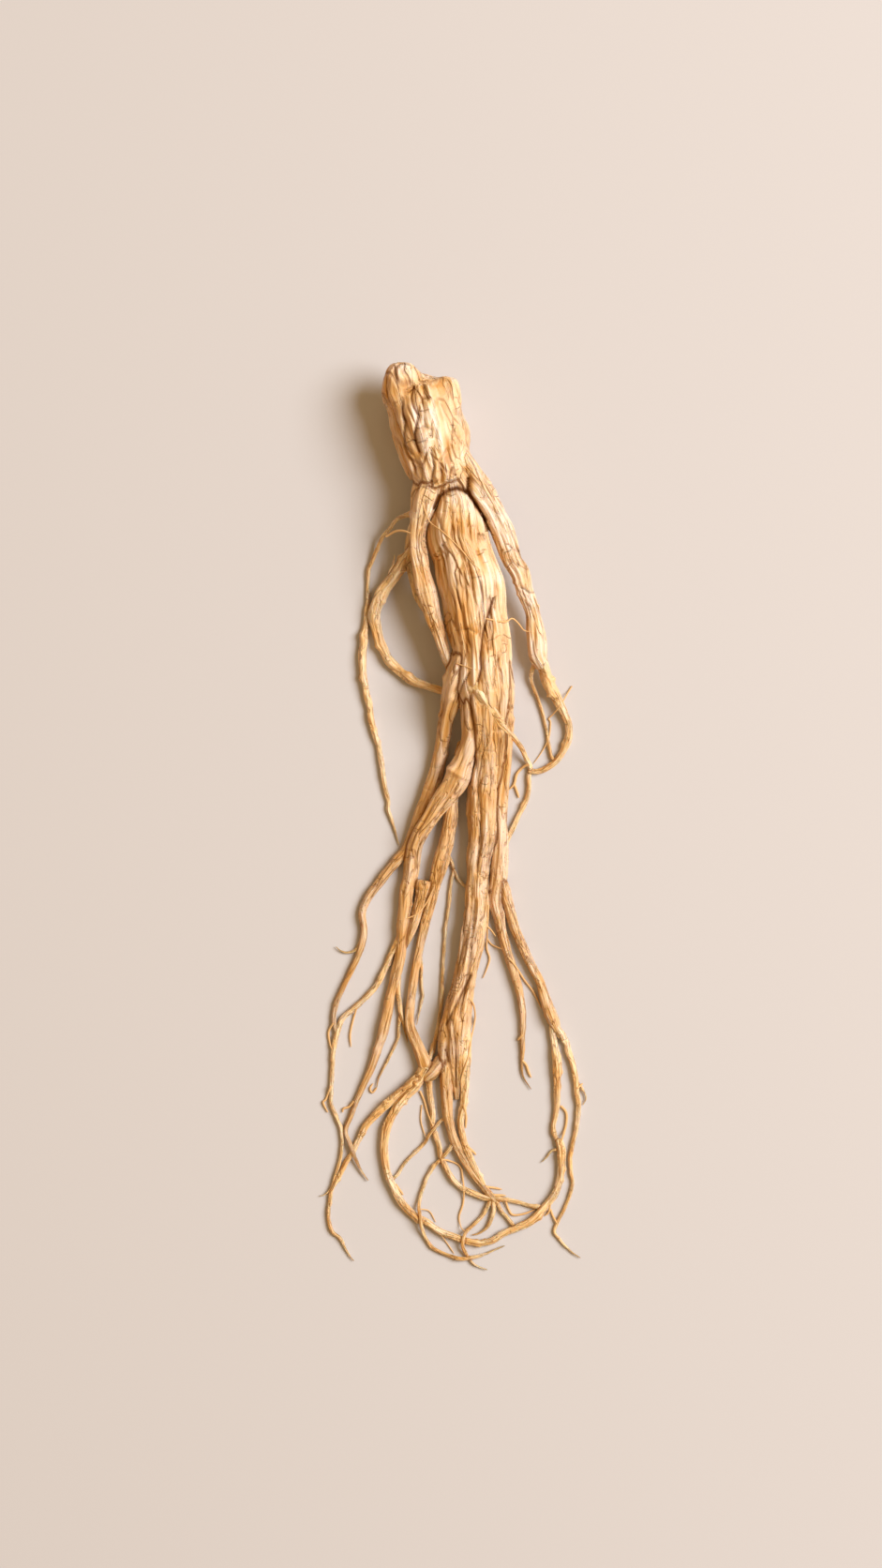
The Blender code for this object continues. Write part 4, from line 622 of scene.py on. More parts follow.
def stretches(route, build):
    """The samples of a branch, cut where it has grown much thinner, so that no part of it has
    more sides than it needs. Each stretch starts inside the one before it."""
    samples = smooth_route(route, build["step"])
    if "tip" in build:
        to_end = (len(samples) - 1 - np.arange(len(samples))) * build["step"]
        samples[:, 3] *= np.clip(TIP_END + (1.0 - TIP_END) * to_end / build["tip"], TIP_END, 1.0)
    overlap = int(round(STRETCH_OVERLAP / build["step"]))
    shortest = 4 * overlap
    widest_left = np.maximum.accumulate(samples[::-1, 3])[::-1]
    pieces = []
    start = 0
    while start < len(samples):
        thin = np.nonzero(widest_left[start:] < THINNED * widest_left[start])[0]
        end = start + int(thin[0]) if len(thin) else len(samples)
        if len(samples) - end < shortest or end - start < shortest:
            end = len(samples)
        first = max(0, start - overlap)
        piece = samples[first:end].copy()
        if first:
            piece[:overlap, 3] *= np.linspace(*INNER_START, overlap)
        pieces.append((first * build["step"], piece))
        start = end
    return pieces


def axes_along(centres):
    """Each ring's own directions: along the tube, to its side and up."""
    tangents = np.gradient(centres, axis=0)
    tangents /= np.linalg.norm(tangents, axis=1)[:, None]
    side = np.cross(tangents, (0.0, 0.0, 1.0))
    side /= np.linalg.norm(side, axis=1)[:, None]
    return tangents, side, np.cross(side, tangents)


def swollen(run, angle, wide, build):
    """How far each point of a tube stands out: its strands, its nodules and a slow wobble."""
    seed = build["seed"]
    start = run[0, 0]
    end = run[-1, 0]
    rng = np.random.default_rng(seed + int(start))
    swell = np.ones((len(run), angle.shape[1]))
    if "strands" in build:
        wander = 0.5 * np.sin(run * 0.07 + seed) + 0.3 * np.sin(run * 0.19 + 2.0 * seed)
        turn = 0.5 * build["strands"] * angle + run * build["twist"] + wander
        swell += build["strand_depth"] * (np.abs(np.cos(turn)) - MEAN_ROPE)
    if "knots" in build:
        for _ in range(int((end - start) / build["knots"])):
            place = rng.uniform(start + KNOT_MARGIN, end - KNOT_MARGIN)
            facing = rng.uniform(0.0, 2.0 * math.pi)
            length = rng.uniform(*KNOT_LENGTH)
            height = rng.uniform(*build["knot_height"])
            turn = np.angle(np.exp(1j * (angle - facing)))
            swell += height * np.exp(-((run - place) / length) ** 2 - (turn / KNOT_TURN) ** 2)
    return swell + build["wobble"] * np.sin(run * 1.1 / wide ** 0.5 + seed + np.cos(angle))


def tube_mesh(name, points, poles):
    """A closed mesh of quads over a tube's rings, with a fan to the pole at each end."""
    rings, sides = points.shape[:2]
    first = np.arange(rings - 1)[:, None] * sides
    near = np.arange(sides)[None, :]
    far = (near + 1) % sides
    quads = np.stack([first + near, first + sides + near, first + sides + far, first + far], 2)
    pole = rings * sides
    last = pole - sides
    fan = [(pole, j, (j + 1) % sides) for j in range(sides)]
    fan += [(pole + 1, last + (j + 1) % sides, last + j) for j in range(sides)]
    mesh = bpy.data.meshes.new(name)
    vertices = np.vstack([points.reshape(-1, 3), poles]) * MM
    mesh.from_pydata(vertices.tolist(), [], quads.reshape(-1, 4).tolist() + fan)
    return mesh


def root_tube(name, started, samples, build):
    """One stretch as a closed tube, with what its skin's pattern needs stored on it."""
    samples = rounded(samples, build.get("bluntness", ROUND_END))
    centres = samples[:, :3] - np.array(BOX_MIDDLE)
    radii = samples[:, 3]
    gaps = np.linalg.norm(np.diff(centres, axis=0), axis=1)
    run = (started + np.concatenate([[0.0], np.cumsum(gaps)]))[:, None]
    wide = float(radii.max())
    sides = max(FEWEST_SIDES, int(round(2.0 * math.pi * wide / build["width"])))
    angle = np.linspace(0.0, 2.0 * math.pi, sides, endpoint=False)[None, :]

    tangents, side, up = axes_along(centres)
    reach = radii[:, None] * swollen(run, angle, wide, build)
    points = (centres[:, None, :]
              + (reach * np.cos(angle))[:, :, None] * side[:, None, :]
              + (reach * np.sin(angle))[:, :, None] * up[:, None, :])
    poles = np.vstack([centres[0] - tangents[0] * radii[0] * POLE_REACH,
                       centres[-1] + tangents[-1] * radii[-1] * POLE_REACH])

    gap = build["fissure_gap"]
    if "crown" in build:
        points[:, :, 2] *= CROWN_PRESS
        poles[:, 2] *= CROWN_PRESS
        grain = points @ CROWN_FRAME / gap
        pole_grain = poles @ CROWN_FRAME / gap
    else:
        shift = build["seed"] * SEED_SHIFT
        grain = np.stack(np.broadcast_arrays(np.cos(angle) * build["girth"] / gap,
                                             np.sin(angle) * build["girth"] / gap,
                                             run / gap + shift), axis=2)
        pole_grain = np.array([[0.0, 0.0, place / gap + shift] for place in run[[0, -1], 0]])

    mesh = tube_mesh(name, points, poles)
    store(mesh, "grain", np.vstack([grain.reshape(-1, 3), pole_grain]))
    store(mesh, "girth", np.concatenate([np.repeat(radii, sides), radii[[0, -1]]]))
    store(mesh, "plates", np.full(len(mesh.vertices), float("crown" in build)))
    return mesh


def store(mesh, name, values):
    """Keeps one number, or three, for each point of a mesh."""
    kind, field = ("FLOAT", "value") if values.ndim == 1 else ("FLOAT_VECTOR", "vector")
    attribute = mesh.attributes.new(name, kind, "POINT")
    attribute.data.foreach_set(field, values.astype(np.float32).ravel())


def read(mesh, name, width):
    """The numbers that a mesh keeps for its points, one or three for each."""
    values = np.empty(len(mesh.vertices) * width, dtype=np.float32)
    field = "value" if width == 1 else "vector"
    mesh.attributes[name].data.foreach_get(field, values)
    return values if width == 1 else values.reshape(-1, width)


def vectors(mesh, field):
    """Each point's place or direction."""
    values = np.empty(len(mesh.vertices) * 3, dtype=np.float32)
    mesh.vertices.foreach_get(field, values)
    return values.reshape(-1, 3)


def positions(mesh):
    return vectors(mesh, "co").astype(float)


def move(mesh, points):
    mesh.vertices.foreach_set("co", points.astype(np.float32).ravel())


def search_tree(points):
    """A tree that finds the nearest of these points."""
    tree = kdtree.KDTree(len(points))
    for index, point in enumerate(points):
        tree.insert(point, index)
    tree.balance()
    return tree


def add(tree, kind, links=None, **settings):
    """Adds one node with its settings; a link is a socket or a plain value."""
    item = tree.nodes.new(kind)
    for name, value in settings.items():
        setattr(item, name, value)
    for socket, value in (links or {}).items():
        if isinstance(value, bpy.types.NodeSocket):
            tree.links.new(value, item.inputs[socket])
        else:
            item.inputs[socket].default_value = value
    return item


def drawn_out_noise(tree, grain, stretch, seed, detail):
    """A noise in the skin's grain, drawn out along the root."""
    place = add(tree, "ShaderNodeVectorMath", {0: grain, 1: stretch}, operation="MULTIPLY")
    field = add(tree, "ShaderNodeTexNoise",
                {"Vector": place.outputs[0], "W": seed, "Scale": 1.0, "Detail": detail},
                noise_dimensions="4D")
    return field.outputs[0]


def fissures(tree, grain, stretch, seed, width):
    """Thin meandering lines, 1 in the line and 0 away from it, where a noise is middling."""
    field = drawn_out_noise(tree, grain, stretch, seed, 2.0)
    centred = add(tree, "ShaderNodeMath", {0: field, 1: 0.5}, operation="SUBTRACT")
    distance = add(tree, "ShaderNodeMath", {0: centred.outputs[0]}, operation="ABSOLUTE")
    line = add(tree, "ShaderNodeMapRange",
               {"Value": distance.outputs[0], "From Min": 0.0, "From Max": width,
                "To Min": 1.0, "To Max": 0.0},
               interpolation_type="SMOOTHSTEP")
    return line.outputs[0]


def field_between(tree, grain, stretch, seed, low, high):
    """A slow noise, drawn out along the root and spread between 0 and 1."""
    field = drawn_out_noise(tree, grain, stretch, seed, 1.0)
    spread = add(tree, "ShaderNodeMapRange",
                 {"Value": field, "From Min": low, "From Max": high},
                 interpolation_type="SMOOTHSTEP")
    return spread.outputs[0]


def weighed(tree, parts):
    """The sum of several fields, each times its weight, which may be a field too."""
    total = 0.0
    for value, weight in parts:
        term = add(tree, "ShaderNodeMath", {0: value, 1: weight, 2: total},
                   operation="MULTIPLY_ADD")
        total = term.outputs[0]
    return total


def skin_lines(tree, grain, plated):
    """The skin's fissures, part rings and plate edges, the same for its relief and its colour."""
    cell_place = add(tree, "ShaderNodeVectorMath", {0: grain, 1: (0.8, 0.8, 0.36)},
                     operation="MULTIPLY")
    cells = add(tree, "ShaderNodeTexVoronoi", {"Vector": cell_place.outputs[0], "Scale": 1.0},
                feature="DISTANCE_TO_EDGE")
    edge = add(tree, "ShaderNodeMapRange",
               {"Value": cells.outputs["Distance"], "From Min": 0.0, "From Max": PLATE_EDGE,
                "To Min": 1.0, "To Max": 0.0}, interpolation_type="SMOOTHSTEP")
    broken = field_between(tree, grain, (0.9, 0.9, 0.5), PLATE_SEED, 0.45, 0.58)
    # Each kind of line, with the field that lets it show in places.
    masked = {
        "main": (fissures(tree, grain, MAIN_STRETCH, MAIN_SEED, MAIN_WIDTH),
                 field_between(tree, grain, (0.7, 0.7, 0.2), MASK_SEED, 0.4, 0.52)),
        "fine": (fissures(tree, grain, (2.3, 2.3, 0.34), FINE_SEED, MAIN_WIDTH),
                 field_between(tree, grain, (0.9, 0.9, 0.25), MASK_SEED, 0.6, 0.46)),
        "ring": (fissures(tree, grain, (0.45, 0.45, 0.85), RING_SEED, RING_WIDTH),
                 field_between(tree, grain, (0.6, 0.6, 0.35), RING_SEED, 0.56, 0.64)),
        "plate": (edge.outputs[0], weighed(tree, [(broken, plated)])),
    }
    lines = {name: weighed(tree, [pair]) for name, pair in masked.items()}
    lines["valley"] = fissures(tree, grain, MAIN_STRETCH, MAIN_SEED, VALLEY_WIDTH)
    lines["wrinkle"] = field_between(tree, grain, (3.1, 3.1, 0.28), WRINKLE_SEED, 0.32, 0.68)
    return lines


def new_tree(name, inputs):
    """A geometry nodes tree with named inputs, a skin to set, and the sockets that it is given."""
    tree = bpy.data.node_groups.new(name, "GeometryNodeTree")
    sockets = tree.interface
    sockets.new_socket("Geometry", in_out="INPUT", socket_type="NodeSocketGeometry")
    for key, value in inputs.items():
        kind = "NodeSocketInt" if isinstance(value, int) else "NodeSocketFloat"
        sockets.new_socket(key, in_out="INPUT", socket_type=kind).default_value = value
    sockets.new_socket("Skin", in_out="INPUT", socket_type="NodeSocketMaterial")
    sockets.new_socket("Geometry", in_out="OUTPUT", socket_type="NodeSocketGeometry")
    return tree, add(tree, "NodeGroupInput").outputs


def finish_tree(tree, geometry, skin):
    real = add(tree, "GeometryNodeRealizeInstances", {"Geometry": geometry})
    dressed = add(tree, "GeometryNodeSetMaterial", {"Geometry": real.outputs[0], "Material": skin})
    add(tree, "NodeGroupOutput", {"Geometry": dressed.outputs[0]})
    return tree


def relief_tree():
    """Geometry nodes that wrinkle a branch: long fissures, part rings, plates and lumps."""
    tree, given = new_tree("root_skin_relief", RELIEF)
    grain, girth, plated = [
        add(tree, "GeometryNodeInputNamedAttribute", {"Name": name}, data_type=kind).outputs[0]
        for name, kind in (("grain", "FLOAT_VECTOR"), ("girth", "FLOAT"), ("plates", "FLOAT"))]
    lines = skin_lines(tree, grain, plated)
    lump = field_between(tree, grain, (0.55, 0.55, 0.2), LUMP_SEED, 0.25, 0.75)
    swell = field_between(tree, grain, (1.4, 1.4, 0.2), SWELL_SEED, 0.3, 0.7)

    # Thin branches have shallower relief.
    share = add(tree, "ShaderNodeMath", {0: girth, 1: FULL_GIRTH}, operation="DIVIDE")
    scale = add(tree, "ShaderNodeMath", {0: share.outputs[0], 1: GIRTH_POWER}, operation="POWER")
    cuts = weighed(tree, [(lines[key], given[f"{key.capitalize()} depth"])
                          for key in ("main", "valley", "fine", "ring", "plate")])
    height = weighed(tree, [(lump, given["Lump depth"]), (swell, given["Swell depth"]),
                            (lines["wrinkle"], given["Wrinkle depth"])])
    for operation, operand in (("SUBTRACT", cuts), ("SUBTRACT", given["Sink"]),
                               ("MULTIPLY", scale.outputs[0]), ("MULTIPLY", MM)):
        step = add(tree, "ShaderNodeMath", {0: height, 1: operand}, operation=operation)
        height = step.outputs[0]
    normal = add(tree, "GeometryNodeInputNormal").outputs[0]
    offset = add(tree, "ShaderNodeVectorMath", {0: normal, 3: height}, operation="SCALE")
    moved = add(tree, "GeometryNodeSetPosition",
                {"Geometry": given["Geometry"], "Offset": offset.outputs[0]})
    kept = add(tree, "GeometryNodeStoreNamedAttribute",
               {"Geometry": moved.outputs[0], "Name": "swell", "Value": swell},
               data_type="FLOAT", domain="POINT")
    return finish_tree(tree, kept.outputs[0], given["Skin"])


def evaluated_mesh(thing):
    depsgraph = bpy.context.evaluated_depsgraph_get()
    return bpy.data.meshes.new_from_object(thing.evaluated_get(depsgraph))


def link(thing):
    bpy.context.scene.collection.objects.link(thing)
    return thing


def remove(thing):
    mesh = thing.data
    bpy.data.objects.remove(thing, do_unlink=True)
    if isinstance(mesh, bpy.types.Mesh) and mesh.users == 0:
        bpy.data.meshes.remove(mesh)


def through_tree(data, tree, values):
    """The plain mesh that a tree makes of a mesh or curve, with its inputs set by identifier."""
    thing = link(bpy.data.objects.new("given", data))
    modifier = thing.modifiers.new("tree", "NODES")
    modifier.node_group = tree
    for item in tree.interface.items_tree:
        if item.item_type == "SOCKET" and item.in_out == "INPUT" and item.name in values:
            modifier[item.identifier] = values[item.name]
    mesh = evaluated_mesh(thing)
    remove(thing)
    return mesh


def line_distance(points, line):
    """How far each x, y point is from a line of hand-placed points."""
    best = np.full(len(points), np.inf)
    for start, end in zip(line, line[1:]):
        start = np.array(start)
        run = np.array(end) - start
        share = np.clip(((points - start) @ run) / (run @ run), 0.0, 1.0)
        gap = np.linalg.norm(start + share[:, None] * run - points, axis=1)
        best = np.minimum(best, gap)
    return best


def cut_creases(mesh, creases):
    """Sinks the upper side along the listed creases, or raises it where a depth is below
    zero, and keeps how dark each crease's painted shade is as an attribute."""
    points = positions(mesh)
    flat = points[:, :2] / MM + np.array(BOX_MIDDLE[:2])
    facing = np.clip(vectors(mesh, "normal")[:, 2], 0.0, 1.0)
    total = np.zeros(len(points))
    shade = np.zeros(len(points))
    for line, depth, half_width in creases:
        near = np.exp(-(line_distance(flat, line) / half_width) ** 2)
        total += depth * near * facing
        dark = np.clip(depth * CREASE_SHADE, 0.0, 1.0)
        shade = np.maximum(shade, near ** SHADE_POWER * dark * (facing > UPPER_SIDE))
    points[:, 2] -= total * MM
    move(mesh, points)
    store(mesh, "cut", shade)


def joined(name, meshes, patterns, groups, attributes):
    """One closed mesh of several crossing tubes, which keeps their attributes; with it, the
    points of its seams, of those where the pattern changes, and of those where one branch
    meets another that it didn't grow with."""
    tubes = [link(bpy.data.objects.new(name, mesh)) for mesh in meshes]
    before = np.vstack([positions(mesh) for mesh in meshes])
    kept = {key: np.concatenate([read(mesh, key, width) for mesh in meshes])
            for key, width in attributes.items()}
    counts = [len(mesh.vertices) for mesh in meshes]
    others = bpy.data.collections.new("tubes")
    bpy.context.scene.collection.children.link(others)
    for tube in tubes[1:]:
        bpy.context.scene.collection.objects.unlink(tube)
        others.objects.link(tube)
    union = tubes[0].modifiers.new("join", "BOOLEAN")
    union.operation = "UNION"
    union.solver = "MANIFOLD"
    union.operand_type = "COLLECTION"
    union.collection = others
    mesh = evaluated_mesh(tubes[0])
    for tube in tubes:
        remove(tube)
    bpy.data.collections.remove(others)

    tree = search_tree(before)
    after = positions(mesh)
    nearest = np.empty(len(after), dtype=int)
    gap = np.empty(len(after))
    for index, point in enumerate(after):
        _, nearest[index], gap[index] = tree.find(point)
    for key in attributes:
        if key in mesh.attributes:
            mesh.attributes.remove(mesh.attributes[key])
        store(mesh, key, kept[key][nearest])
    seams = after[gap > SAME_POINT]
    near = [[index for _, index, _ in tree.find_n(point, SEAM_NEIGHBOURS)] for point in seams]
    met = []
    for labels in (np.repeat(patterns, counts), np.repeat(groups, counts)):
        met.append([point for point, beside in zip(seams, near) if len(set(labels[beside])) > 1])
    return mesh, seams, *met


def gap_to(points, seams):
    """How far each point is from the nearest seam point, in mm."""
    tree = search_tree(seams)
    return np.array([tree.find(point)[2] for point in points]) / MM


def ease_seams(mesh, seams, breaks, creases, reach):
    """Rounds the valleys where two branches meet, most of all in the crown, and marks them
    for the painted shade that the skin's colour puts in these folds."""
    points = positions(mesh)
    distance = gap_to(points, seams)
    crown = np.clip((points[:, 1] / MM - CROWN_FOOT) / CROWN_BLEND, 0.0, 1.0)
    reach_here = reach * (1.0 + CROWN_REACH * crown)
    # How near each point is to a fold between branches, where the skin gets painted shade.
    store(mesh, "seam_shade_share", np.exp(-(gap_to(points, creases) / (reach * 0.5)) ** 2))
    store(mesh, "joint", np.exp(-(gap_to(points, breaks) / JOINT_REACH) ** 2))
    weight = np.clip(1.0 - distance / reach_here, 0.0, 1.0)[:, None] * EASE_STEP
    edges = np.empty(len(mesh.edges) * 2, dtype=np.int32)
    mesh.edges.foreach_get("vertices", edges)
    edges = edges.reshape(-1, 2)
    both = np.concatenate([edges[:, 0], edges[:, 1]])
    other = np.concatenate([edges[:, 1], edges[:, 0]])
    count = np.maximum(np.bincount(both, minlength=len(points)), 1)[:, None]
    for turn in range(CROWN_ROUNDS):
        if turn == SEAM_ROUNDS:
            weight *= crown[:, None]
        total = np.stack([np.bincount(both, weights=points[other, k], minlength=len(points))
                          for k in range(3)], axis=1)
        points += weight * (total / count - points)
    move(mesh, points)


def rest_on_surface(mesh):
    """Keeps every point at or above the surface that the root lies on."""
    points = positions(mesh)
    points[:, 2] = np.maximum(points[:, 2], 0.0)
    move(mesh, points)


def linear(colour):
    """An sRGB hex colour as linear numbers."""
    parts = [int(colour[k:k + 2], 16) / 255.0 for k in (1, 3, 5)]
    return tuple(c / 12.92 if c <= 0.04045 else ((c + 0.055) / 1.055) ** 2.4
                 for c in parts) + (1.0,)


def new_material(name):
    material = bpy.data.materials.new(name)
    material.use_nodes = True
    return material, material.node_tree.nodes["Principled BSDF"]


def fresh_root_skin(name, low, middle, high, specks, stain_and_shade_share, tan):
    """Fresh ginseng skin: thin, waxy cork over pale flesh, brown in its fissures, with painted
    shade in its creases and folds and on its side turned from the light, and painted light on
    its lit side and raised swells.
    The eye sees a soft shine on the ridges, none in the folds, and a warm edge where light
    comes through the flesh."""
    material, shader = new_material(name)
    tree = material.node_tree
    place = add(tree, "ShaderNodeTexCoord").outputs["Object"]
    grain = add(tree, "ShaderNodeAttribute", attribute_name="grain").outputs["Vector"]
    plated, swell, seam_shade_share, joint, cut = [
        add(tree, "ShaderNodeAttribute", attribute_name=key).outputs["Fac"]
        for key in ("plates", "swell", "seam_shade_share", "joint", "cut")]
    lines = skin_lines(tree, grain, plated)

    streak_place = add(tree, "ShaderNodeVectorMath", {0: grain, 1: (4.5, 4.5, 0.3)},
                       operation="MULTIPLY").outputs[0]
    streak = add(tree, "ShaderNodeTexNoise", {"Vector": streak_place, "Scale": 1.0,
                                              "Detail": 3.0, "Roughness": 0.5}).outputs[0]
    patch = add(tree, "ShaderNodeTexNoise",
                {"Vector": place, "Scale": 90.0, "Detail": 3.0}).outputs[0]
    dots = add(tree, "ShaderNodeTexVoronoi", {"Vector": place, "Scale": 560.0})
    normal = add(tree, "ShaderNodeTexCoord").outputs["Normal"]
    across = add(tree, "ShaderNodeSeparateXYZ", {0: normal}).outputs["X"]
    along = add(tree, "ShaderNodeSeparateXYZ", {0: place}).outputs["Y"]

    # Each share's field, where it starts and ends, and the share at both.
    faded = {
        # Where two branches with patterns of their own meet, the pattern fades.
        "open": (joint, 0.2, 0.75, 1.0, 0.0),
        # Painted shade on the sides that face left, away from the key light, and painted light
        # on the sides that face right, towards it.
        "left": (across, 0.1, -0.9, 0.0, 0.5 * stain_and_shade_share),
        "right": (across, 0.1, 0.9, 0.0, 0.36),
        # The legs, in metres along the root, are browner than the trunk.
        "legs": (along, 0.056, 0.03, 0.0, tan),
        # Painted shade in the creases, as dark as each crease is deep.
        "crease_painted_shade": (cut, 0.05, 0.9, 0.0, 0.94),
        "dot": (dots.outputs["Distance"], 0.08, 0.2, specks, 0.0),
    }
    share = {}
    for key, (value, start, end, first, last) in faded.items():
        share[key] = add(tree, "ShaderNodeMapRange",
                         {"Value": value, "From Min": start, "From Max": end,
                          "To Min": first, "To Max": last},
                         interpolation_type="SMOOTHSTEP").outputs[0]

    # The tone is partly the skin's own random patches and streaks and partly a painted highlight:
    # the swells and wrinkles that the relief raises are painted paler.
    tone = weighed(tree, [(streak, 0.22), (swell, 0.12), (lines["wrinkle"], 0.1), (patch, 0.56)])
    bands = add(tree, "ShaderNodeValToRGB", {0: tone})
    bands.color_ramp.elements.new(0.5)
    for element, stop, shade in zip(bands.color_ramp.elements, (0.38, 0.5, 0.62),
                                    (low, middle, high)):
        element.position = stop
        element.color = linear(shade)

    dull = weighed(tree, [(lines["valley"], 0.16), (lines["fine"], 0.22)])
    thin = weighed(tree, [(lines["main"], 0.42), (lines["ring"], 0.26), (lines["plate"], 0.5)])
    thin = add(tree, "ShaderNodeMath", {0: thin, 1: share["open"]}, operation="MULTIPLY",
               use_clamp=True).outputs[0]
    thin = weighed(tree, [(thin, stain_and_shade_share)])
    # Painted shade in the folds where branches meet.
    fold = add(tree, "ShaderNodeMath", {0: seam_shade_share, 1: 2.6}, operation="POWER").outputs[0]
    fold = weighed(tree, [(fold, 0.9)])
    dotted = add(tree, "ShaderNodeMapRange", {"Value": patch, "From Min": 0.52, "From Max": 0.64})
    colour = bands.outputs[0]
    # In turn: painted shade on the left-facing side, painted light on the right-facing side, the
    # legs' own tan, the fissures' brown, painted shade in the folds and creases, and brown specks.
    for stain, amount in (
            ("#CE9038", share["left"]), ("#FBE2CA", share["right"]), ("#D09A50", share["legs"]),
            ("#CE8A34", weighed(tree, [(dull, share["open"])])), ("#955614", thin),
            ("#7A4208", fold), ("#6E3A08", share["crease_painted_shade"]),
            ("#8E5A2A", weighed(tree, [(share["dot"], dotted.outputs[0])]))):
        colour = add(tree, "ShaderNodeMix", {0: amount, 6: colour, 7: linear(stain)},
                     data_type="RGBA").outputs[2]
    tree.links.new(colour, shader.inputs["Base Color"])

    # Waxy skin shines a little; its stained fissures and the painted shade in its creases and
    # folds don't.
    stain_and_shade_marks = weighed(tree, [(thin, 0.8), (fold, 1.0), (share["crease_painted_shade"], 1.0)])
    for socket, value, least, most in (
            ("Specular IOR Level", stain_and_shade_marks, 0.5, 0.05), ("Coat Weight", stain_and_shade_marks, 0.25, 0.0),
            ("Roughness", streak, 0.36, 0.6)):
        finish = add(tree, "ShaderNodeMapRange", {"Value": value, "To Min": least, "To Max": most})
        tree.links.new(finish.outputs[0], shader.inputs[socket])
    for socket, value in {"IOR": 1.45, "Coat Roughness": 0.35, "Subsurface Weight": 0.2,
                          "Subsurface Radius": (1.0, 0.45, 0.15),
                          "Subsurface Scale": 0.0015}.items():
        shader.inputs[socket].default_value = value

    pores = add(tree, "ShaderNodeTexNoise",
                {"Vector": place, "Scale": 2400.0, "Detail": 2.0}).outputs[0]
    skin = weighed(tree, [(streak, 0.8), (pores, 0.15), (lines["wrinkle"], 0.5),
                          (lines["main"], -0.9), (lines["fine"], -0.6), (lines["ring"], -0.8),
                          (lines["plate"], -0.8)])
    bump = add(tree, "ShaderNodeBump", {"Height": weighed(tree, [(skin, share["open"])]),
                                        "Strength": 0.85, "Distance": 0.0007})
    tree.links.new(bump.outputs[0], shader.inputs["Normal"])
    return material


def hair_skin():
    """The skin of hairs: dry, plain ochre, too thin to show a pattern."""
    material, shader = new_material("root_hair_skin")
    shader.inputs["Base Color"].default_value = linear("#E8BC80")
    shader.inputs["Roughness"].default_value = 0.6
    return material


def plain_surface():
    """Smooth painted board: matte and pale, so that it only takes the light's warmth."""
    material, shader = new_material("painted_board")
    shader.inputs["Base Color"].default_value = linear("#D0CFD2")
    shader.inputs["Roughness"].default_value = 0.85
    return material


# A build says how a branch is drawn: the quads' length and width in mm, the gap between its
# fissures, how many strands it is roped from and how deep they stand, how often a nodule sits
# on it and how high, and how long its free tip thins out.
def shared_build(seed, name, route, gap, tip):
    radii = [point[3] for point in route]
    wide = max(radii)
    build = {"seed": seed, "girth": float(np.median(radii)), "fissure_gap": gap * wide ** 0.5}
    if name in OPEN_ENDS:
        build["tip"] = tip
    return build, wide


def body_build(number, name, route):
    build, wide = shared_build(number + BODY_SEED, name, route, gap=1.45, tip=10.0)
    build.update(step=0.58, width=0.54, wobble=0.03)
    if name in CROWN:
        build.update(step=0.5, width=0.48, bluntness=0.2, crown=True, fissure_gap=5.8)
    elif name == "cut_stub":
        build.update(bluntness=0.12)
    elif name in ("centre_leg", "centre_tail_left"):
        build.update(strands=6, strand_depth=0.17, twist=0.02, knots=11.0,
                     knot_height=(0.05, 0.15), fissure_gap=1.1 * wide ** 0.5)
    elif name == "trunk":
        build.update(step=0.5, width=0.48)
    else:
        build.update(strands=5 if wide > 3.4 else 3, strand_depth=0.14, twist=0.03,
                     knots=11.0, knot_height=(0.05, 0.22))
    return build


def rootlet_build(number, name, route):
    build, wide = shared_build(number + ROOTLET_SEED, name, route, gap=1.4, tip=9.0)
    build.update(step=0.42, width=0.36, wobble=0.06, knots=7.0, knot_height=(0.15, 0.55))
    if wide > 1.2:
        build.update(strands=3, strand_depth=0.14, twist=0.12)
    return build


def make_piece(name, routes, builds, tree, skin, seam_reach):
    """One closed piece from several branches, wrinkled and joined."""
    meshes = []
    patterns = []
    groups = []
    for number, (key, route) in enumerate(routes.items()):
        build = builds(number, key, route)
        for started, samples in stretches(route, build):
            tube = root_tube(key, started, samples, build)
            mesh = through_tree(tube, tree, {**RELIEF, "Skin": skin})
            cut_creases(mesh, CREASED.get(key, []))
            meshes.append(mesh)
            patterns.append("crown" if "crown" in build else key)
            groups.append(GROWN_AS_ONE.get(key, key))
    kept = {"grain": 3, "plates": 1, "swell": 1, "cut": 1}
    mesh, seams, breaks, creases = joined(name, meshes, patterns, groups, kept)
    ease_seams(mesh, seams, breaks, creases, seam_reach)
    rest_on_surface(mesh)
    mesh.materials.clear()
    mesh.materials.append(skin)
    mesh.shade_smooth()
    return link(bpy.data.objects.new(name, mesh))


def hair_tree():
    """Geometry nodes that turn hair lines into thin closed strands."""
    tree, given = new_tree("root_hair", {"Sides": HAIR_SIDES})
    ring = add(tree, "GeometryNodeCurvePrimitiveCircle",
               {"Resolution": given["Sides"], "Radius": MM}, mode="RADIUS")
    girth = add(tree, "GeometryNodeInputRadius").outputs[0]
    tube = add(tree, "GeometryNodeCurveToMesh",
               {"Curve": given["Geometry"], "Profile Curve": ring.outputs[0],
                "Scale": girth, "Fill Caps": True})
    return finish_tree(tree, tube.outputs[0], given["Skin"])


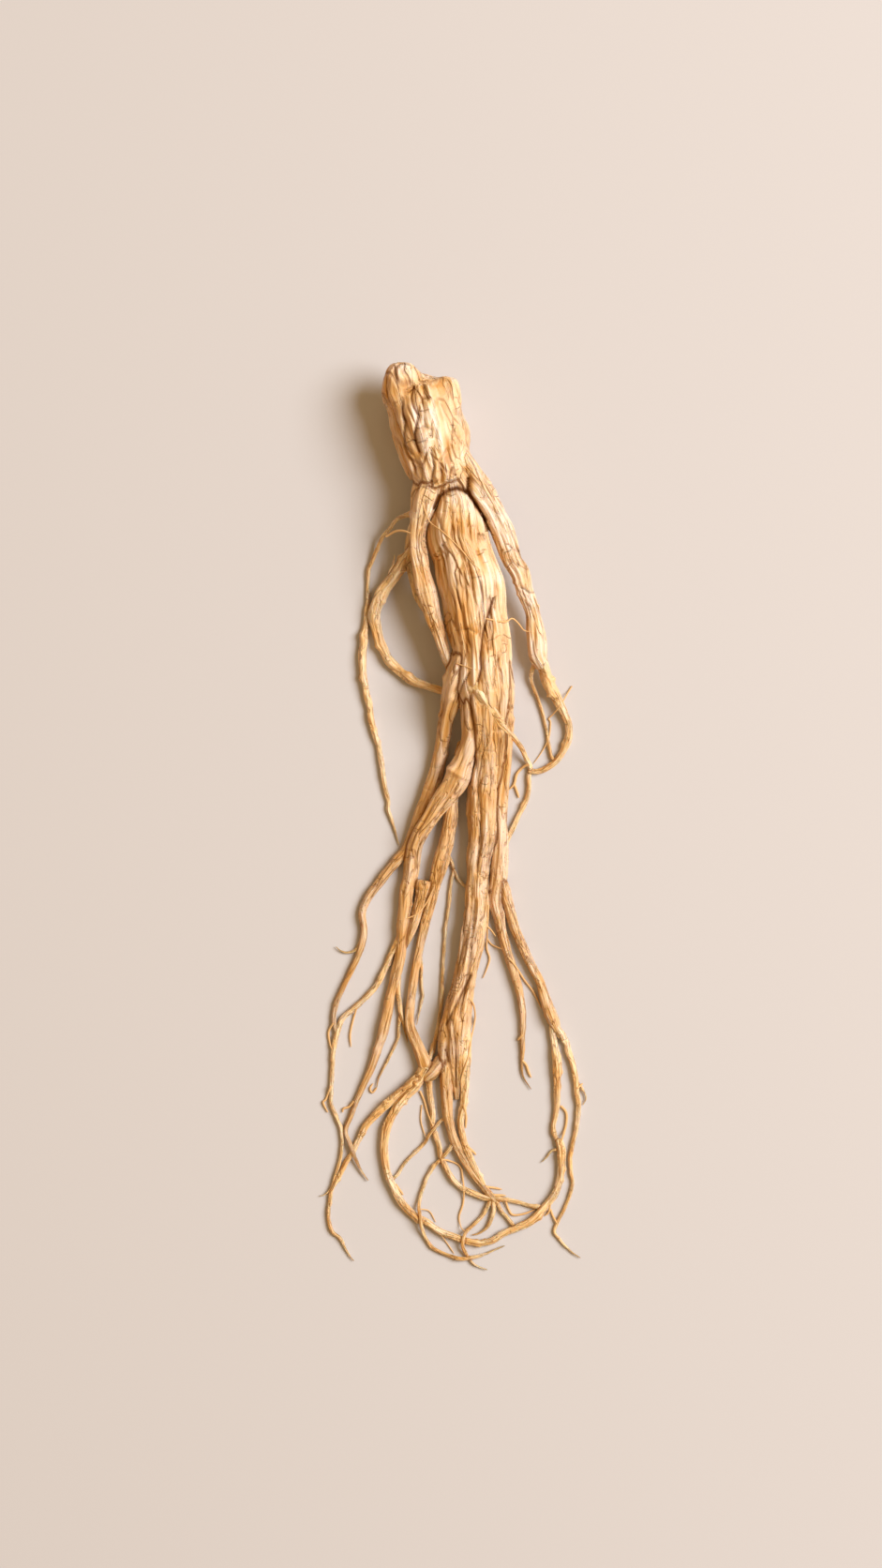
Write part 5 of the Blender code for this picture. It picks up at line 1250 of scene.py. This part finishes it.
def draped(line, radius, ground):
    """A hair's points, lifted onto whatever lies under each of them."""
    flat = smooth_route([(x, y, 0.0) for x, y in line], HAIR_STEP)
    flat = flat[:, :2] - np.array(BOX_MIDDLE[:2])
    height = np.full(len(flat), radius)
    for index, (x, y) in enumerate(flat):
        hit = ground.ray_cast(Vector((x * MM, y * MM, RAY_START)), Vector((0.0, 0.0, -1.0)))
        if hit[0] is not None:
            height[index] = hit[0].z / MM + radius * 0.6
    order = np.arange(len(flat))
    lifted = np.array([np.max(height - HAIR_FALL * np.abs(order - index)) for index in order])
    padded = np.pad(lifted, HAIR_EASE // 2, mode="edge")
    eased = np.convolve(padded, np.ones(HAIR_EASE) / HAIR_EASE, mode="valid")
    return np.column_stack([flat, np.maximum(eased, radius * 0.5)])


def make_hairs(skin, ground):
    """All hairs as one piece of thin strands, each thinner at its end."""
    curve = bpy.data.curves.new("root_hairs", "CURVE")
    curve.dimensions = "3D"
    for radius, line in HAIRS:
        points = draped(line, radius, ground)
        spline = curve.splines.new("POLY")
        spline.points.add(len(points) - 1)
        share = np.linspace(0.0, 1.0, len(points))
        taper = HAIR_TIP + (1.0 - HAIR_TIP) * np.clip((1.0 - share) * 4.0, 0.0, 1.0)
        for point, place, width in zip(spline.points, points, taper):
            point.co = (*(place * MM), 1.0)
            point.radius = radius * width
    mesh = through_tree(curve, hair_tree(), {"Sides": HAIR_SIDES, "Skin": skin})
    work = bmesh.new()
    work.from_mesh(mesh)
    bmesh.ops.remove_doubles(work, verts=work.verts, dist=SAME_POINT)
    work.to_mesh(mesh)
    work.free()
    rest_on_surface(mesh)
    mesh.shade_smooth()
    return link(bpy.data.objects.new("root_hairs", mesh))


def camera_over_root():
    """Straight down, framed as the photograph frames the root."""
    data = bpy.data.cameras.new("camera")
    data.lens = LENS_MM
    data.sensor_width = SENSOR_MM
    camera = link(bpy.data.objects.new("camera", data))
    distance = PHOTO_HEIGHT * PIXEL_MM * LENS_MM / SENSOR_MM
    x = (PHOTO_WIDTH / 2 - ROOT_MIDDLE_PIXEL[0]) * PIXEL_MM - BOX_MIDDLE[0]
    y = (ROOT_MIDDLE_PIXEL[1] - PHOTO_HEIGHT / 2) * PIXEL_MM - BOX_MIDDLE[1]
    camera.location = (x * MM, y * MM, (distance + TRUE_SCALE_HEIGHT) * MM)
    bpy.context.scene.camera = camera


def soft_light(name, place, size, power, colour):
    """A round soft light that faces the root."""
    data = bpy.data.lights.new(name, "AREA")
    data.shape = "DISK"
    data.size = size
    data.energy = power
    data.color = linear(colour)[:3]
    light = link(bpy.data.objects.new(name, data))
    light.location = place
    light.rotation_euler = Vector(place).to_track_quat("Z", "Y").to_euler()


def studio():
    """A pale board under a soft light from the right, with warm light from all round."""
    bpy.ops.mesh.primitive_plane_add(size=4.0, location=(0.0, 0.0, -0.0002))
    floor = bpy.context.active_object
    floor.name = "floor"
    floor.data.materials.append(plain_surface())
    soft_light("key_light", place=(1.95, 0.6, 2.15), size=1.9, power=106.0, colour="#FFFDFC")
    world = bpy.data.worlds.new("studio")
    world.use_nodes = True
    sky = world.node_tree.nodes["Background"].inputs
    sky["Color"].default_value = linear("#FFD398")
    sky["Strength"].default_value = 0.45
    bpy.context.scene.world = world
    bpy.context.scene.view_settings.view_transform = "Standard"


def dress():
    body_skin = fresh_root_skin("fresh_ginseng_skin", low="#E2AA60", middle="#F3D09E",
                                high="#FFEFDC", specks=0.5, stain_and_shade_share=1.0, tan=0.36)
    rootlet_skin = fresh_root_skin("fresh_rootlet_skin", low="#EDB870", middle="#F7D39A",
                                   high="#FEE8C4", specks=0.4, stain_and_shade_share=0.5, tan=0.0)
    tree = relief_tree()
    body = make_piece("root_body", BODY_ROUTES, body_build, tree, body_skin, seam_reach=1.5)
    rootlets = make_piece("rootlets", ROOTLET_ROUTES, rootlet_build, tree, rootlet_skin,
                          seam_reach=0.7)
    both = bmesh.new()
    both.from_mesh(body.data)
    both.from_mesh(rootlets.data)
    hairs = make_hairs(hair_skin(), BVHTree.FromBMesh(both))
    both.free()
    for piece in (body, rootlets, hairs):
        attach(piece, "root")
        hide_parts(NODE)


camera_over_root()
studio()
dress()
